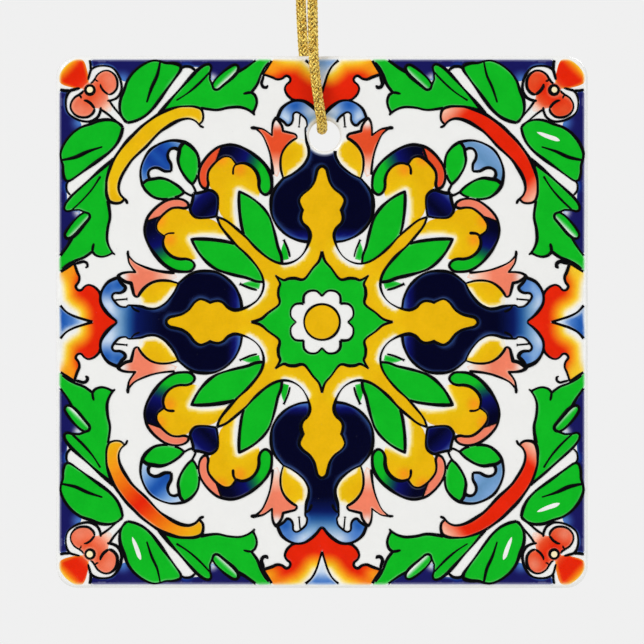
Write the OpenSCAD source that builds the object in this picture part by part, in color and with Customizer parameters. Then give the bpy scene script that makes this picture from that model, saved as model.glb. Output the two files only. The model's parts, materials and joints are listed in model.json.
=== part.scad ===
// Hanging ceramic tile ornament, painted with a traditional eightfold tile pattern.
// Front faces -Y, +X is to the viewer's right, +Z is up.
// The origin is under the knot, inside the top of the cord loop, where a hook carries it.

/* [Tile] */
// Side of the square tile
tile_side = 73; // [55:0.5:110]
// Thickness of the fired clay body
body_t = 2.4; // [1.6:0.1:6]
// Thickness of the white glaze coat on the front
coat_t = 0.8; // [0.4:0.05:1.5]
// Radius of the four corners seen from the front
corner_r = 3; // [1.5:0.25:5]
// Rounding of the front edge, limited by the glaze coat
front_round = 0.7; // [0.1:0.05:1.5]
// Rounding of the back edge, limited by the clay body
back_round = 0.6; // [0.1:0.05:1.5]

/* [Cord hole] */
// Diameter of the cord hole
hole_d = 4.3; // [3:0.1:7]
// Depth of the hole's centre below the top edge
hole_drop = 10.9; // [7:0.1:16]
// Distance of the hole's centre to the right of the tile's centre
hole_shift = 0.35; // [-0.4:0.05:0.4]
// Rounding of the hole's mouth on both faces
mouth_round = 0.6; // [0.1:0.05:0.8]

/* [Painting] */
// Thickness of a coloured glaze pool
paint_t = 0.15; // [0.05:0.01:0.4]
// Width of the dark line left between two pools
line_w = 0.4; // [0.2:0.05:0.6]
// Bare rim between the painting and the rounded edge
rim_w = 0.1; // [0.05:0.05:2]
// Bare ring between the painting and the hole's mouth
ring_w = 0.2; // [0.05:0.05:1]

/* [Cord] */
// Diameter of the braided cord
cord_d = 1.45; // [0.8:0.05:1.6]
// Drop from the top of the loop to the tile's top edge
loop_drop = 52; // [40:0.5:90]
// Diameter of the knot
knot_d = 5.8; // [4.4:0.1:9]
// Height of the knot
knot_h = 5.5; // [4:0.1:9]
// Length of each trimmed tail above the knot
tail_len = 7; // [3:0.5:20]
// Lean of each tail away from upright, in degrees
tail_lean = 11; // [0:1:30]

/* [Hidden] */
$fn = 48;

// Where the tile hangs
tile_t = body_t + coat_t;
seam_y = coat_t - tile_t / 2;
tile_z = -loop_drop - tile_side / 2;
hole_r = hole_d / 2;
hole_up = tile_side / 2 - hole_drop;
cut_over = 1;
field_edge = min(front_round, coat_t, corner_r) + rim_w;
top_quarter = 1;

// Steps of a rounded edge and of a drawn curve
round_steps = 6;
curve_steps = 2;
// Least turn that a sharp tip is drawn back by
tip_limit = 0.25;

// Outline points are [out, across]: out from the tile's centre to the middle of an edge,
// across towards the corner. A third value of 1 keeps a point sharp.
disc_r = 2.45;
scallop = [[3.55, 0, 1], [4.25, 0.75], [4.25, 1.75], [3.75, 2.4], [3.1, 2.55], [2.52, 2.52, 1]];
star = [[8.9, 0, 1], [7.4, 1.35], [6.1, 2.2], [5.8, 2.8], [6, 3.7], [6.05, 4.5], [5.75, 5.75, 1]];
arm_tip = [[21.2, 0]];
arm_edge = [[20.2, 0.85], [19.1, 1.45], [18.2, 2.2], [17.3, 2.95], [16.6, 3.15], [15.8, 2.9],
            [15.35, 2.65, 1], [15, 2.8], [14.2, 2.9], [13.5, 2.6], [12.9, 2], [12, 1.65]];
window_edge = [[11, 1.8], [10, 2.2], [9, 2.9], [8.3, 3.9], [8, 5.1], [8.25, 6.4], [9, 7.7],
               [10.3, 9.2], [11.7, 10.5], [13.2, 12.2], [14, 13.3]];
stem_end = [[14.4, 14.4, 1]];
bud_edge = [[24.9, 2.15], [23.9, 1.85], [22.8, 1.85], [21.7, 2.4], [20.9, 3.2], [20.2, 4.2]];
lobe_edge = [[19.7, 5.3, 1], [18.5, 6.3], [17.4, 6.85], [16.2, 7], [14.8, 6.9], [13.6, 6.4],
             [12.6, 5.6], [11.8, 4.6], [11.2, 3.2], [11, 1.85, 1]];
neck_end = [[25.4, 0, 1], [25.4, 2.35, 1]];
wave_edge = [[29.2, 5.6], [30, 4.7], [30.4, 3.6], [30.3, 2.5], [29.7, 1.5], [29, 0.75], [28.2, 0]];
curl_edge = [[25.8, 0, 1], [25.8, 2.6, 1], [26.6, 2.35], [27.5, 2.25], [28.4, 2.8], [28.75, 3.5],
             [28.5, 4.3], [28.1, 5.1], [28.1, 6.1, 1]];
egg = [[19.7, 5.3, 1], [21, 5.6], [22.5, 5.65], [23.8, 5.35], [24.8, 4.65], [25.6, 3.8], [25.9, 3.1],
       [25.5, 2.45], [24.9, 2.15], [23.9, 1.85], [22.8, 1.85], [21.7, 2.4], [20.9, 3.2], [20.2, 4.2]];
wing = [[20.6, 6, 1], [22.5, 6], [24, 5.6], [25, 4.9], [25.9, 3.9, 1], [26.5, 4.5], [26.6, 5.3],
        [25.7, 6.2, 1], [26.2, 7], [26.5, 8], [26.6, 9, 1], [25.8, 8.3], [24.8, 7.75], [23.3, 7.3],
        [21.8, 7.05], [20.3, 6.95, 1]];
triangle_tip = [[31.5, 0, 1]];
triangle_edge = [[32.8, 0.4], [34, 0.8], [35.1, 1.4], [36, 2.4, 1]];
edge_middle = [[36, 0]];
flame_edge = [[36, 6.8, 1], [34.9, 7.5], [34, 8.1, 1], [33.6, 6.9], [33.3, 6.2], [33.4, 5.5],
              [33.8, 4.9], [33.5, 4.4], [33, 4.4], [32.6, 4.85], [32, 5.1], [31.2, 4.8], [30.6, 4.2, 1]];
leaf = [[8.3, 4.7, 1], [8, 5.3], [8.25, 6.4], [9, 7.7], [10.3, 9.2], [11.7, 10.5], [12.8, 10.95],
        [14.2, 11.2], [15.6, 11.35], [17, 11.4], [17.9, 11.35, 1], [17.4, 10.3], [16.7, 9.2],
        [15.7, 8.1], [14.4, 7.2], [13.2, 6.85], [12, 6.9], [11.2, 6.5], [10.7, 5.7], [9.6, 5]];
heart = [[12.6, 11.2, 1], [13.2, 12.2], [14, 13.3], [14.7, 13.95, 1], [15.6, 14.25], [16.7, 14.2],
         [17.4, 14.3], [17.9, 14.8], [18.3, 15.3], [18.9, 15.6], [19.7, 15.7], [20.6, 15.6],
         [21.4, 15.1], [22.2, 14.3], [22.7, 13.4], [22.6, 12.6], [22.1, 12.1], [21.6, 11.75, 1],
         [21.8, 11.1], [21.7, 10.3], [21.2, 9.5], [20.4, 8.9], [19.5, 8.65], [18.6, 8.8],
         [18, 9.4], [17.9, 10.3], [17.95, 11.4, 1], [16.5, 11.75], [15, 11.75], [13.6, 11.5]];
band_green = [[17.6, 7.4], [18.2, 6.95], [19.2, 6.9], [20.2, 7.05], [21.2, 7.55], [22.1, 8.3],
              [22.75, 9.05, 1], [21.75, 10, 1], [21.2, 9.5], [20.4, 8.9], [19.5, 8.65], [18.6, 8.65],
              [17.9, 8.4], [17.5, 7.9]];
band_navy = [[22.75, 9.05, 1], [23.5, 10.1], [24.1, 11.3], [24.35, 12.5], [24.2, 13.6],
             [23.9, 14.4, 1], [22.5, 13.8, 1], [22.7, 13.3], [22.6, 12.6], [22.1, 12.1],
             [21.6, 11.75, 1], [21.8, 11.1], [21.75, 10, 1]];
band_coral = [[23.9, 14.4, 1], [23.3, 15.2], [22.5, 15.95], [21.5, 16.6], [20.5, 16.9], [19.6, 16.9],
              [18.9, 16.7], [18.4, 16.3], [18.3, 15.8, 1], [18.9, 15.6], [19.7, 15.7], [20.6, 15.6],
              [21.4, 15.1], [22.2, 14.3], [22.5, 13.8, 1]];
square_edge = [[14.5, 14.5, 1], [15.6, 14.3], [16.7, 14.25], [17.4, 14.4], [17.9, 14.9], [18.1, 15.5],
               [17.9, 16.2], [17.7, 17], [17.6, 17.6]];
palm_leaf = [[19.5, 17.7], [20, 17.2], [20.9, 16.95], [22, 17], [23.2, 17.4], [24.2, 18.1],
             [24.75, 18.9], [24.5, 19.6], [23.6, 19.95], [22.5, 19.85], [21.3, 19.4], [20.2, 18.7],
             [19.6, 18.2]];
palm_blue = [[20.3, 20.3, 1], [21.2, 20.6], [22.1, 21.1], [22.9, 21.4], [23.7, 21.4], [24.4, 21],
             [24.9, 20.1, 1], [25, 20.9], [24.6, 21.9], [24, 22.7], [23.4, 23.4]];
ribbon = [[24.1, 24.1], [25.2, 23.1], [26.1, 22.2], [26.8, 21.2], [27.4, 20.2], [27.8, 19.2],
          [27.9, 18.2], [27.6, 17.4], [27.1, 16.9, 1], [27.6, 16.4], [28.4, 16.3], [29, 16.6],
          [29.25, 17.6], [29.25, 18.8], [29, 20], [28.6, 21.2], [28.1, 22.5], [27.4, 23.7],
          [26.6, 24.7], [25.8, 25.8]];
big_leaf = [[28.7, 9.5, 1], [29.2, 10.3], [29.5, 11.4], [29.4, 12.9], [29.1, 14.4], [29.2, 16.2],
            [29.6, 18], [29.5, 19.8], [29, 21.4], [28.4, 23.2, 1], [29.5, 21.9], [30.4, 20.6],
            [31.1, 18.8], [32, 16.8], [33, 15.3], [34, 14.3, 1], [33.2, 13.75], [32.5, 13.4],
            [32.2, 12.6], [32.5, 11.6], [33.4, 10.7], [34.6, 9.95], [36, 8.6, 1], [36, 6.9, 1],
            [35, 7.8], [33.9, 8.4], [32.6, 8.9], [31.5, 9.7, 1], [31.1, 9.2], [30.3, 8.95], [29.5, 9.1]];
small_finger = [[33, 13], [33.6, 12.2], [34.4, 11.5], [35.1, 11.3], [35.5, 11.7], [35.3, 12.3],
                [34.5, 12.8], [33.6, 13.4]];
long_finger = [[31, 19.7, 1], [31.6, 18.2], [32.4, 16.7], [33.3, 15.4], [34.1, 14.7], [34.7, 14.9],
               [34.7, 15.6], [34.2, 16.6], [33.3, 17.4], [32.3, 18.3]];
broad_finger = [[28.6, 24.2, 1], [29.6, 22.9], [30.8, 21.7], [32, 20.6], [33.3, 19.6], [34.3, 19.2],
                [35, 19.5], [35.1, 20.8], [35.1, 22], [34.2, 22.4], [32.8, 23], [31.3, 23.6], [29.9, 24.3]];
last_finger = [[27.6, 25.2, 1], [28.6, 24.6], [29.9, 24.7], [31.3, 24], [32.9, 23.4], [34.4, 22.9],
               [35.5, 22.8], [35.8, 23.3], [35.6, 24.2], [34.9, 25.3], [33.8, 26.3], [32.4, 27.2],
               [31, 27.9], [29.6, 28.2], [28.4, 28], [27.7, 27.2], [27.5, 26.2]];
ground_inner = [[36, 9, 1], [34.9, 10], [33.7, 10.85], [32.9, 11.6], [32.6, 12.6, 1], [33.4, 11.9],
                [34.3, 11.2], [35.1, 11], [36, 11.2, 1]];
ground_middle = [[36, 11.7, 1], [35.6, 12.4], [34.8, 13.1], [33.8, 13.7, 1], [34.5, 14.3], [35, 14.7],
                 [35, 15.7], [34.6, 16.7, 1], [35.2, 16.5], [36, 16.6, 1]];
ground_outer = [[36, 17.9, 1], [35.6, 18.4], [34.8, 18.9, 1], [35.3, 19.3], [35.4, 20.7],
                [35.4, 22.4, 1], [36, 22.5, 1]];
ground_corner = [[36, 24.2, 1], [35.3, 25.3], [34.4, 26.3, 1], [35, 27.2], [35.2, 28.2], [35.4, 29.4, 1],
                 [36, 29.6, 1]];
petal = [[31.1, 27.8, 1], [32.4, 27.6], [33.7, 27.95], [34.7, 28.8], [35.1, 29.8], [34.5, 30.3, 1],
         [34.8, 30.9], [34.2, 31.2], [33.3, 30.7], [32.5, 30.2], [31.9, 30], [31.3, 29.3], [31, 28.5]];
flower_body = [[30, 30], [30.8, 29.8], [31.6, 30.3], [32.5, 30.7], [33.3, 31.2], [33.6, 31.9], [33.2, 33.2]];
corner_lobe = [[33.5, 33.5], [34, 32.7], [34.8, 32.7], [35.5, 33.2], [35.6, 34], [35.1, 35.1]];
flower_eye_r = 0.75;
flower_eye = (flower_body[1][0] + flower_body[len(flower_body) - 1][0]) / 2;
// Distance from the outermost outline points to the edge of the tile that they are drawn for
drawn_margin = 0.5;
pattern_scale = tile_side / 2 / (edge_middle[0][0] + drawn_margin);

// The cord's two legs, from the knot down to where they part, and from there down to the hole:
// [x of the front leg, x of the back leg, share of the full distance from the tile's middle]
cord_upper = [[0.7, -0.9, 0.1], [0.5, -1.1, 0.24], [0.3, -1.3, 0.38], [0, -1.6, 0.52], [-0.3, -1.9, 0.65],
              [-0.6, -2.2, 0.76], [-0.9, -2.5, 0.86], [-1.1, -2.75, 0.95], [-1.25, -2.9, 1]];
// The lower rows also give the height above the middle of the bend in the hole
cord_lower = [[-1.3, -2.95, 1, 21], [-1.3, -2.9, 1, 17.5], [-1.25, -2.75, 1, 14], [-1.15, -2.45, 1, 10],
              [-0.85, -1.7, 1, 6.5], [-0.5, -1, 1, 4], [-0.25, -0.4, 0.966, 2.2], [-0.1, -0.1, 0.845, 1.4],
              [0, 0, 0.603, 0.6], [0, 0, 0.31, 0.15]];
// Height above the bend at which the legs part, clear of the tile's top edge when it swings
part_up = 25;
knot_tuck = 0.3;
cord_sides = 8;
// Play of the cord beside the tile and in the hole
leg_play = 0.425;
hole_play = 0.525;
strand_gap = cord_d + 0.05;
tail_root = 1;
leg_y = tile_t / 2 + paint_t + cord_d / 2 + leg_play;
bend_z = -loop_drop - hole_drop + hole_r - cord_d / 2 - hole_play;

// Curves

function bend_points(inner, z, flip, r) =
    [for (i = [0 : round_steps]) let (a = 90 * i / round_steps)
        [inner + r * sin(a), z + flip * r * (cos(a) - 1)]];
function flat(p) = [p[0], p[1]];
function scaled(p) = len(p) > 2 ? [pattern_scale * p[0], pattern_scale * p[1], 1] : pattern_scale * p;
function slope(pts, i) =
    let (n = len(pts))
    len(pts[i]) > 2 ? [0, 0] : (flat(pts[(i + 1) % n]) - flat(pts[(i + n - 1) % n])) / 2;
function between(a, ta, b, tb, s) =
    (1 + 2 * s) * pow(1 - s, 2) * a + s * pow(1 - s, 2) * ta
    + s * s * (3 - 2 * s) * b + s * s * (s - 1) * tb;
function smooth(pts) =
    let (n = len(pts))
    [for (i = [0 : n - 1], j = [0 : curve_steps - 1])
        between(flat(pts[i]), slope(pts, i), flat(pts[(i + 1) % n]), slope(pts, (i + 1) % n), j / curve_steps)];
function backwards(pts) = [for (i = [len(pts) - 1 : -1 : 0]) pts[i]];
function over_axis(p) = len(p) > 2 ? [p[0], -p[1], 1] : [p[0], -p[1]];
function over_corner(p) = len(p) > 2 ? [p[1], p[0], 1] : [p[1], p[0]];
function both_sides(half) = concat(half, [for (p = backwards(half)) if (p[1] != 0) over_axis(p)]);
function both_corners(half) = concat(half, [for (p = backwards(half)) if (p[0] != p[1]) over_corner(p)]);
function turned(p, k) =
    let (q = k == 0 ? [p[0], p[1]] : k == 1 ? [-p[1], p[0]] : k == 2 ? [-p[0], -p[1]] : [p[1], -p[0]])
    len(p) > 2 ? [q[0], q[1], 1] : q;
function all_round(eighth) =
    let (quarter = [for (p = both_corners(eighth)) if (p[0] > 0) p])
    [for (k = [0 : 3], p = quarter) turned(p, k)];
function area_sign(pts) =
    let (n = len(pts))
    sign([for (i = 0, s = 0; i <= n; s = s + (i < n ? cross(pts[i], pts[(i + 1) % n]) : 0), i = i + 1) s][n]);
function left_of(a, b) = let (d = b - a) [-d[1], d[0]] / norm(d);
function inset(pts, d) =
    let (n = len(pts), turn = area_sign([for (p = pts) flat(p)]) * d)
    [for (i = [0 : n - 1])
        let (last = flat(pts[(i + n - 1) % n]), here = flat(pts[i]), next = flat(pts[(i + 1) % n]),
             before = left_of(last, here), after = left_of(here, next),
             moved = len(pts[i]) > 2
                ? here + turn * (before + after) / max(tip_limit, 1 + before * after)
                : here + turn * left_of(last, next))
        len(pts[i]) > 2 ? [moved[0], moved[1], 1] : moved];
function clipped(pts, axis, limit) =
    [for (i = [0 : len(pts) - 1])
        let (p = pts[i], q = pts[(i + 1) % len(pts)], kept = p[axis] <= limit, stays = q[axis] <= limit)
        each concat(kept ? [p] : [],
                    kept == stays ? [] : [p + (q - p) * (limit - p[axis]) / (q[axis] - p[axis])])];
function in_corner(p) =
    let (reach = tile_side / 2 - corner_r, over = p - [reach, reach], limit = corner_r - field_edge)
    over[0] > 0 && over[1] > 0 && norm(over) > limit ? [reach, reach] + over * limit / norm(over) : p;
function drawn(pts, gap) =
    let (edge = tile_side / 2 - field_edge, line = smooth(inset([for (q = pts) scaled(q)], gap)))
    [for (p = clipped(clipped(line, 0, edge), 1, edge)) in_corner(p)];

// Tile

module tile_frame() translate([0, seam_y, tile_z]) rotate([90, 0, 0]) children();

module slab(profile, bottom, top) {
    reach = tile_side / 2 - corner_r;
    translate([-reach, -reach, bottom]) cube([2 * reach, 2 * reach, top - bottom]);
    for (quarter = [0 : 3]) rotate(90 * quarter) {
        translate([reach, reach, 0]) rotate_extrude(angle = 90) polygon(profile);
        translate([reach, reach, 0]) rotate([90, 0, 0]) linear_extrude(2 * reach) polygon(profile);
    }
}

module hole_tool() {
    mouth = hole_r + mouth_round;
    profile = concat(
        [[0, -body_t - cut_over], [mouth, -body_t - cut_over]],
        [for (i = [0 : round_steps]) let (a = 90 * i / round_steps)
            [mouth - mouth_round * sin(a), mouth_round * (1 - cos(a)) - body_t]],
        [for (i = [0 : round_steps]) let (a = 90 * i / round_steps)
            [mouth - mouth_round * cos(a), coat_t - mouth_round * (1 - sin(a))]],
        [[mouth, coat_t + paint_t + cut_over], [0, coat_t + paint_t + cut_over]]);
    translate([hole_shift, hole_up, 0]) rotate_extrude() polygon(profile);
}

module tile_body() {
    r = min(back_round, body_t, corner_r);
    profile = concat([[0, 0], [0, -body_t]], bend_points(corner_r - r, -body_t, -1, r), [[corner_r, 0]]);
    color("#efe9dd") tile_frame() difference() {
        slab(profile, -body_t, 0);
        hole_tool();
    }
}

module white_glaze() {
    r = min(front_round, coat_t, corner_r);
    profile = concat([[0, 0], [0, coat_t]], bend_points(corner_r - r, coat_t, 1, r), [[corner_r, 0]]);
    color("#f0f0f0") tile_frame() difference() {
        slab(profile, 0, coat_t);
        hole_tool();
    }
}

// Painting

module pool(pts) translate([0, 0, coat_t]) linear_extrude(paint_t) polygon(drawn(pts, line_w / 2));

module hole_ring() {
    translate([hole_shift, hole_up, coat_t - cut_over])
        cylinder(r = hole_r + mouth_round + ring_w, h = paint_t + 2 * cut_over);
}

module pool_at(pts, quarter, side) {
    if (quarter == top_quarter) difference() {
        rotate(90 * quarter) mirror([0, side, 0]) pool(pts);
        hole_ring();
    }
    else rotate(90 * quarter) mirror([0, side, 0]) pool(pts);
}

module four(pts) for (quarter = [0 : 3]) pool_at(pts, quarter, 0);

module eight(pts) for (quarter = [0 : 3], side = [0, 1]) pool_at(pts, quarter, side);

module ring_pool(outer, inner) {
    translate([0, 0, coat_t]) linear_extrude(paint_t) difference() {
        polygon(drawn(outer, line_w / 2));
        polygon(drawn(inner, -line_w / 2));
    }
}

module painting(paint) color(paint) tile_frame() children();

module green_glaze() painting("#0aba24") {
    ring_pool(all_round(star), all_round(scallop));
    eight(leaf);
    eight(band_green);
    eight(palm_leaf);
    eight(big_leaf);
    eight(small_finger);
    eight(long_finger);
    eight(broad_finger);
    eight(last_finger);
}

module yellow_glaze() painting("#ebb905") {
    translate([0, 0, coat_t]) cylinder(r = pattern_scale * disc_r - line_w / 2, h = paint_t);
    difference() {
        ring_pool(all_round(concat(arm_tip, arm_edge, window_edge, stem_end)), all_round(star));
        hole_ring();
    }
    eight(egg);
    eight(heart);
}

module navy_glaze() painting("#0a1464") {
    four(both_sides(concat(neck_end, bud_edge, lobe_edge, backwards(arm_edge), arm_tip)));
    eight(band_navy);
    four(both_corners(square_edge));
    eight(ground_inner);
    eight(ground_middle);
    eight(ground_outer);
    eight(ground_corner);
}

module sky_glaze() painting("#6496d2") {
    four(both_sides(concat(curl_edge, wave_edge)));
    four(both_sides(concat(triangle_tip, triangle_edge, edge_middle)));
    four(both_corners(palm_blue));
}

module flame_glaze() painting("#e11e00") {
    four(both_sides(concat(triangle_tip, triangle_edge, flame_edge, [for (i = [2 : 6]) wave_edge[i]])));
    four(both_corners(ribbon));
    four(both_corners(corner_lobe));
    difference() {
        four(both_corners(flower_body));
        for (quarter = [0 : 3]) rotate(90 * quarter)
            translate([pattern_scale * flower_eye, pattern_scale * flower_eye, coat_t - cut_over])
                cylinder(r = pattern_scale * flower_eye_r + line_w / 2, h = paint_t + 2 * cut_over);
    }
}

module coral_glaze() painting("#f08269") {
    eight(wing);
    eight(band_coral);
    eight(petal);
    for (quarter = [0 : 3]) rotate(90 * quarter)
        translate([pattern_scale * flower_eye, pattern_scale * flower_eye, coat_t])
            cylinder(r = pattern_scale * flower_eye_r - line_w / 2, h = paint_t);
}

// Cord

function leg(column, side) =
    let (n = len(cord_upper), top = bend_z + part_up, run = -knot_tuck - top)
    concat([[-side * strand_gap / 2, 0, -knot_tuck]],
           [for (i = [0 : n - 1]) let (p = cord_upper[i])
               [p[column], side * leg_y * p[2], top + run * (n - 1 - i) / n]],
           [for (p = cord_lower) [p[column], side * leg_y * p[2], bend_z + p[3]]]);
function along(pts, i) =
    let (step = pts[min(i + 1, len(pts) - 1)] - pts[max(i - 1, 0)]) step / norm(step);
function ring(pts, i) =
    let (t = along(pts, i), side = [1, 0, 0] - t * t[0], u = side / norm(side), v = cross(t, u))
    [for (k = [0 : cord_sides - 1]) let (a = 360 * k / cord_sides)
        pts[i] + cord_d / 2 * (cos(a) * u + sin(a) * v)];

module hanging_cord() {
    route = concat(leg(0, -1), [[0, 0, bend_z]], backwards(leg(1, 1)));
    last = len(route) - 1;
    skin = [for (i = [0 : last]) each ring(route, i)];
    start = [for (k = [1 : cord_sides - 2]) [0, k, k + 1]];
    finish = [for (k = [1 : cord_sides - 2])
        [last * cord_sides, last * cord_sides + k + 1, last * cord_sides + k]];
    wall = [for (i = [0 : last - 1], k = [0 : cord_sides - 1])
        let (a = i * cord_sides + k, b = i * cord_sides + (k + 1) % cord_sides)
        each [[a, b + cord_sides, b], [a, a + cord_sides, b + cord_sides]]];
    color("#cda541") polyhedron(skin, concat(start, finish, wall));
}

module cord_knot() {
    belly = knot_d / 2;
    crown = belly - cord_d / 2;
    shoulder = knot_h / 4;
    profile = [[0, 0], [crown, 0], [belly, shoulder], [belly, knot_h - shoulder], [crown, knot_h], [0, knot_h]];
    color("#cda541") {
        rotate_extrude() polygon(profile);
        for (side = [-1, 1]) translate([side * strand_gap / 2, 0, knot_h - tail_root])
            rotate([0, side * tail_lean, 0]) cylinder(d = cord_d, h = tail_root + tail_len);
    }
}

tile_body();
white_glaze();
green_glaze();
yellow_glaze();
navy_glaze();
sky_glaze();
flame_glaze();
coral_glaze();
hanging_cord();
cord_knot();
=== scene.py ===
"""Looks of a hanging ceramic tile ornament: painted glaze pools, dark line work and a gold braided cord."""

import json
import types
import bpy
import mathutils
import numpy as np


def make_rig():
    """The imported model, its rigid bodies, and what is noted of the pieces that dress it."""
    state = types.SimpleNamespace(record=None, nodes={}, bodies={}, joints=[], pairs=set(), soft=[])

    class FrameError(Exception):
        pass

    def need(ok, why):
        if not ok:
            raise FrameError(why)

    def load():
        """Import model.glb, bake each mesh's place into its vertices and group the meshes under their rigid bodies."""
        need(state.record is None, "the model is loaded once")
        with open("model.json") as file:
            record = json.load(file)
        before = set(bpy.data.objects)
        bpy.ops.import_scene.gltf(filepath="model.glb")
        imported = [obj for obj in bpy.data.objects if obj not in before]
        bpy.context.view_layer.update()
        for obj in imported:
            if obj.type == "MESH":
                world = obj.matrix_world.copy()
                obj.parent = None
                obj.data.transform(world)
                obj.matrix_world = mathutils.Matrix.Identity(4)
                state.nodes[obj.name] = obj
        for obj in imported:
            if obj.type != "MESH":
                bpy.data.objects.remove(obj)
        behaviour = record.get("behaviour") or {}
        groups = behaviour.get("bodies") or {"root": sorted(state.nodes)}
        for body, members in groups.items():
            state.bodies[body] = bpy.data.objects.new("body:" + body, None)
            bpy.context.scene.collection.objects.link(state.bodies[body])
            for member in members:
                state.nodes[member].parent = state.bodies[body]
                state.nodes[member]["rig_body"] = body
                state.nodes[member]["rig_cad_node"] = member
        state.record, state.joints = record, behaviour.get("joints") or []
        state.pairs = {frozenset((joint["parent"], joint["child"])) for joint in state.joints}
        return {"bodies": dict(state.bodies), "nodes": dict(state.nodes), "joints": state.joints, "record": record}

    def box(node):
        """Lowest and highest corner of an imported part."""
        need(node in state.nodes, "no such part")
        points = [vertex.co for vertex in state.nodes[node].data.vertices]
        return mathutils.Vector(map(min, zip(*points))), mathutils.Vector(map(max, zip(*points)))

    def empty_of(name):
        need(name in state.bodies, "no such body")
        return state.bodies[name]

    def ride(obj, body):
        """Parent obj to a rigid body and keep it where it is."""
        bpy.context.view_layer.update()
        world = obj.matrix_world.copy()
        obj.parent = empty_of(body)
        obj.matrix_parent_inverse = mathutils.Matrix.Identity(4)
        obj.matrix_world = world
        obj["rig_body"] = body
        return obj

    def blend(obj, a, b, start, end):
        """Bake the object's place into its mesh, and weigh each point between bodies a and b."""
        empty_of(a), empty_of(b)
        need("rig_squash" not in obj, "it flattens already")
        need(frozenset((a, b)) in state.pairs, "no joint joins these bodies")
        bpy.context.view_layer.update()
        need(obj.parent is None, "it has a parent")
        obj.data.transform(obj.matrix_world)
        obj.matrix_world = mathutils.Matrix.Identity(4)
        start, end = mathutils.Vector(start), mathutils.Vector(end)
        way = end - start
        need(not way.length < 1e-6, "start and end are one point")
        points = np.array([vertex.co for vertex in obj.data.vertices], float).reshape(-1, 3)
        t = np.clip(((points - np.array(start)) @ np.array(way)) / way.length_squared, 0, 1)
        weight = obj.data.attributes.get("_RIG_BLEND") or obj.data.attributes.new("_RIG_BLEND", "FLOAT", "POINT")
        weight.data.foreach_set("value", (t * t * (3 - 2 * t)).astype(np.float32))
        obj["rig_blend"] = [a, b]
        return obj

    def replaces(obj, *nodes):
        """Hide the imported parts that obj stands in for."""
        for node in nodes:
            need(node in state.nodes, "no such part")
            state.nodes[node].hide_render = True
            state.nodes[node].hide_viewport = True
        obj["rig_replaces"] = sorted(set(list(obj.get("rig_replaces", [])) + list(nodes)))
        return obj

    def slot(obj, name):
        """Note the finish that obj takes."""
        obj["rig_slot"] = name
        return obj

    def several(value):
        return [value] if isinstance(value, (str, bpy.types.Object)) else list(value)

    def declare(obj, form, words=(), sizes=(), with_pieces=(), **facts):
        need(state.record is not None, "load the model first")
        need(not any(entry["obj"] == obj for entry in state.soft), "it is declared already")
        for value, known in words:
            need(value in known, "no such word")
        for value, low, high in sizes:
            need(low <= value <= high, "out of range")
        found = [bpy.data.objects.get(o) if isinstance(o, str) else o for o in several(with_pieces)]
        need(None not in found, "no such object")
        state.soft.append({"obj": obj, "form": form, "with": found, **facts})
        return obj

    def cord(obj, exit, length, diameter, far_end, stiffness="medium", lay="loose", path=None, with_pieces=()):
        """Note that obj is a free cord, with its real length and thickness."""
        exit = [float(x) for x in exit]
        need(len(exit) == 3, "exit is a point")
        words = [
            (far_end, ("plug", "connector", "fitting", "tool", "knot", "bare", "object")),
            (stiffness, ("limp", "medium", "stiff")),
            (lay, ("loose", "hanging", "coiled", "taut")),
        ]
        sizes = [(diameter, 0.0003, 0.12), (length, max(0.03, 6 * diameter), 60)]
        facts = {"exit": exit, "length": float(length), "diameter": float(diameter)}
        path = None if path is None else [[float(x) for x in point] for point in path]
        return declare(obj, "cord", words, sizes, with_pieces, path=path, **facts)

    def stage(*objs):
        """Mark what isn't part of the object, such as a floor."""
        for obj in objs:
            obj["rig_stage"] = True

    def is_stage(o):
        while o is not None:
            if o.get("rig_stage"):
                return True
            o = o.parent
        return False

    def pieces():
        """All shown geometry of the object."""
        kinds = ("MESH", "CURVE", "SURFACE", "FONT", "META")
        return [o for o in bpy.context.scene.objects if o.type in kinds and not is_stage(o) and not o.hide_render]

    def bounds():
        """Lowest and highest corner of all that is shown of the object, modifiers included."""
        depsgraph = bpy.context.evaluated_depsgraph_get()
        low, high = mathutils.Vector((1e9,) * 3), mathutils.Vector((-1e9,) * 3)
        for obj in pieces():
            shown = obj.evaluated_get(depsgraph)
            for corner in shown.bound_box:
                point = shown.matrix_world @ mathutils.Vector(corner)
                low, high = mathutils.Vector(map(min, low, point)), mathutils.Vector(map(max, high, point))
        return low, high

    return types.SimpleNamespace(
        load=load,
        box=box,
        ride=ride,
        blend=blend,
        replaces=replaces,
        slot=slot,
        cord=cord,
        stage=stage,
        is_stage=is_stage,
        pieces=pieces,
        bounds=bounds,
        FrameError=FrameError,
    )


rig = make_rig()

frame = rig.load()
CAD_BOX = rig.bounds()

import json
import logging
import math
from dataclasses import dataclass, field
from enum import Enum
from typing import Iterator, Mapping, Optional, Sequence, Union

import bpy
import numpy as np
from bpy.types import ID, Material, Node, NodeSocket, NodeTree, Object
from mathutils import Vector
from mathutils.geometry import delaunay_2d_cdt

LOG = logging.getLogger("tile_ornament")
SIZE_FILE = "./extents.json"
MM = 0.001
SHARP_ANGLE = math.radians(35)
NEAR_ZERO = 1e-9
BATCH = 1000

Point = tuple[float, ...]
Outline = list[Point]
Loops = Sequence[np.ndarray]
Edges = list[tuple[int, int]]
Pieces = list[Object]


# Colours


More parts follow.
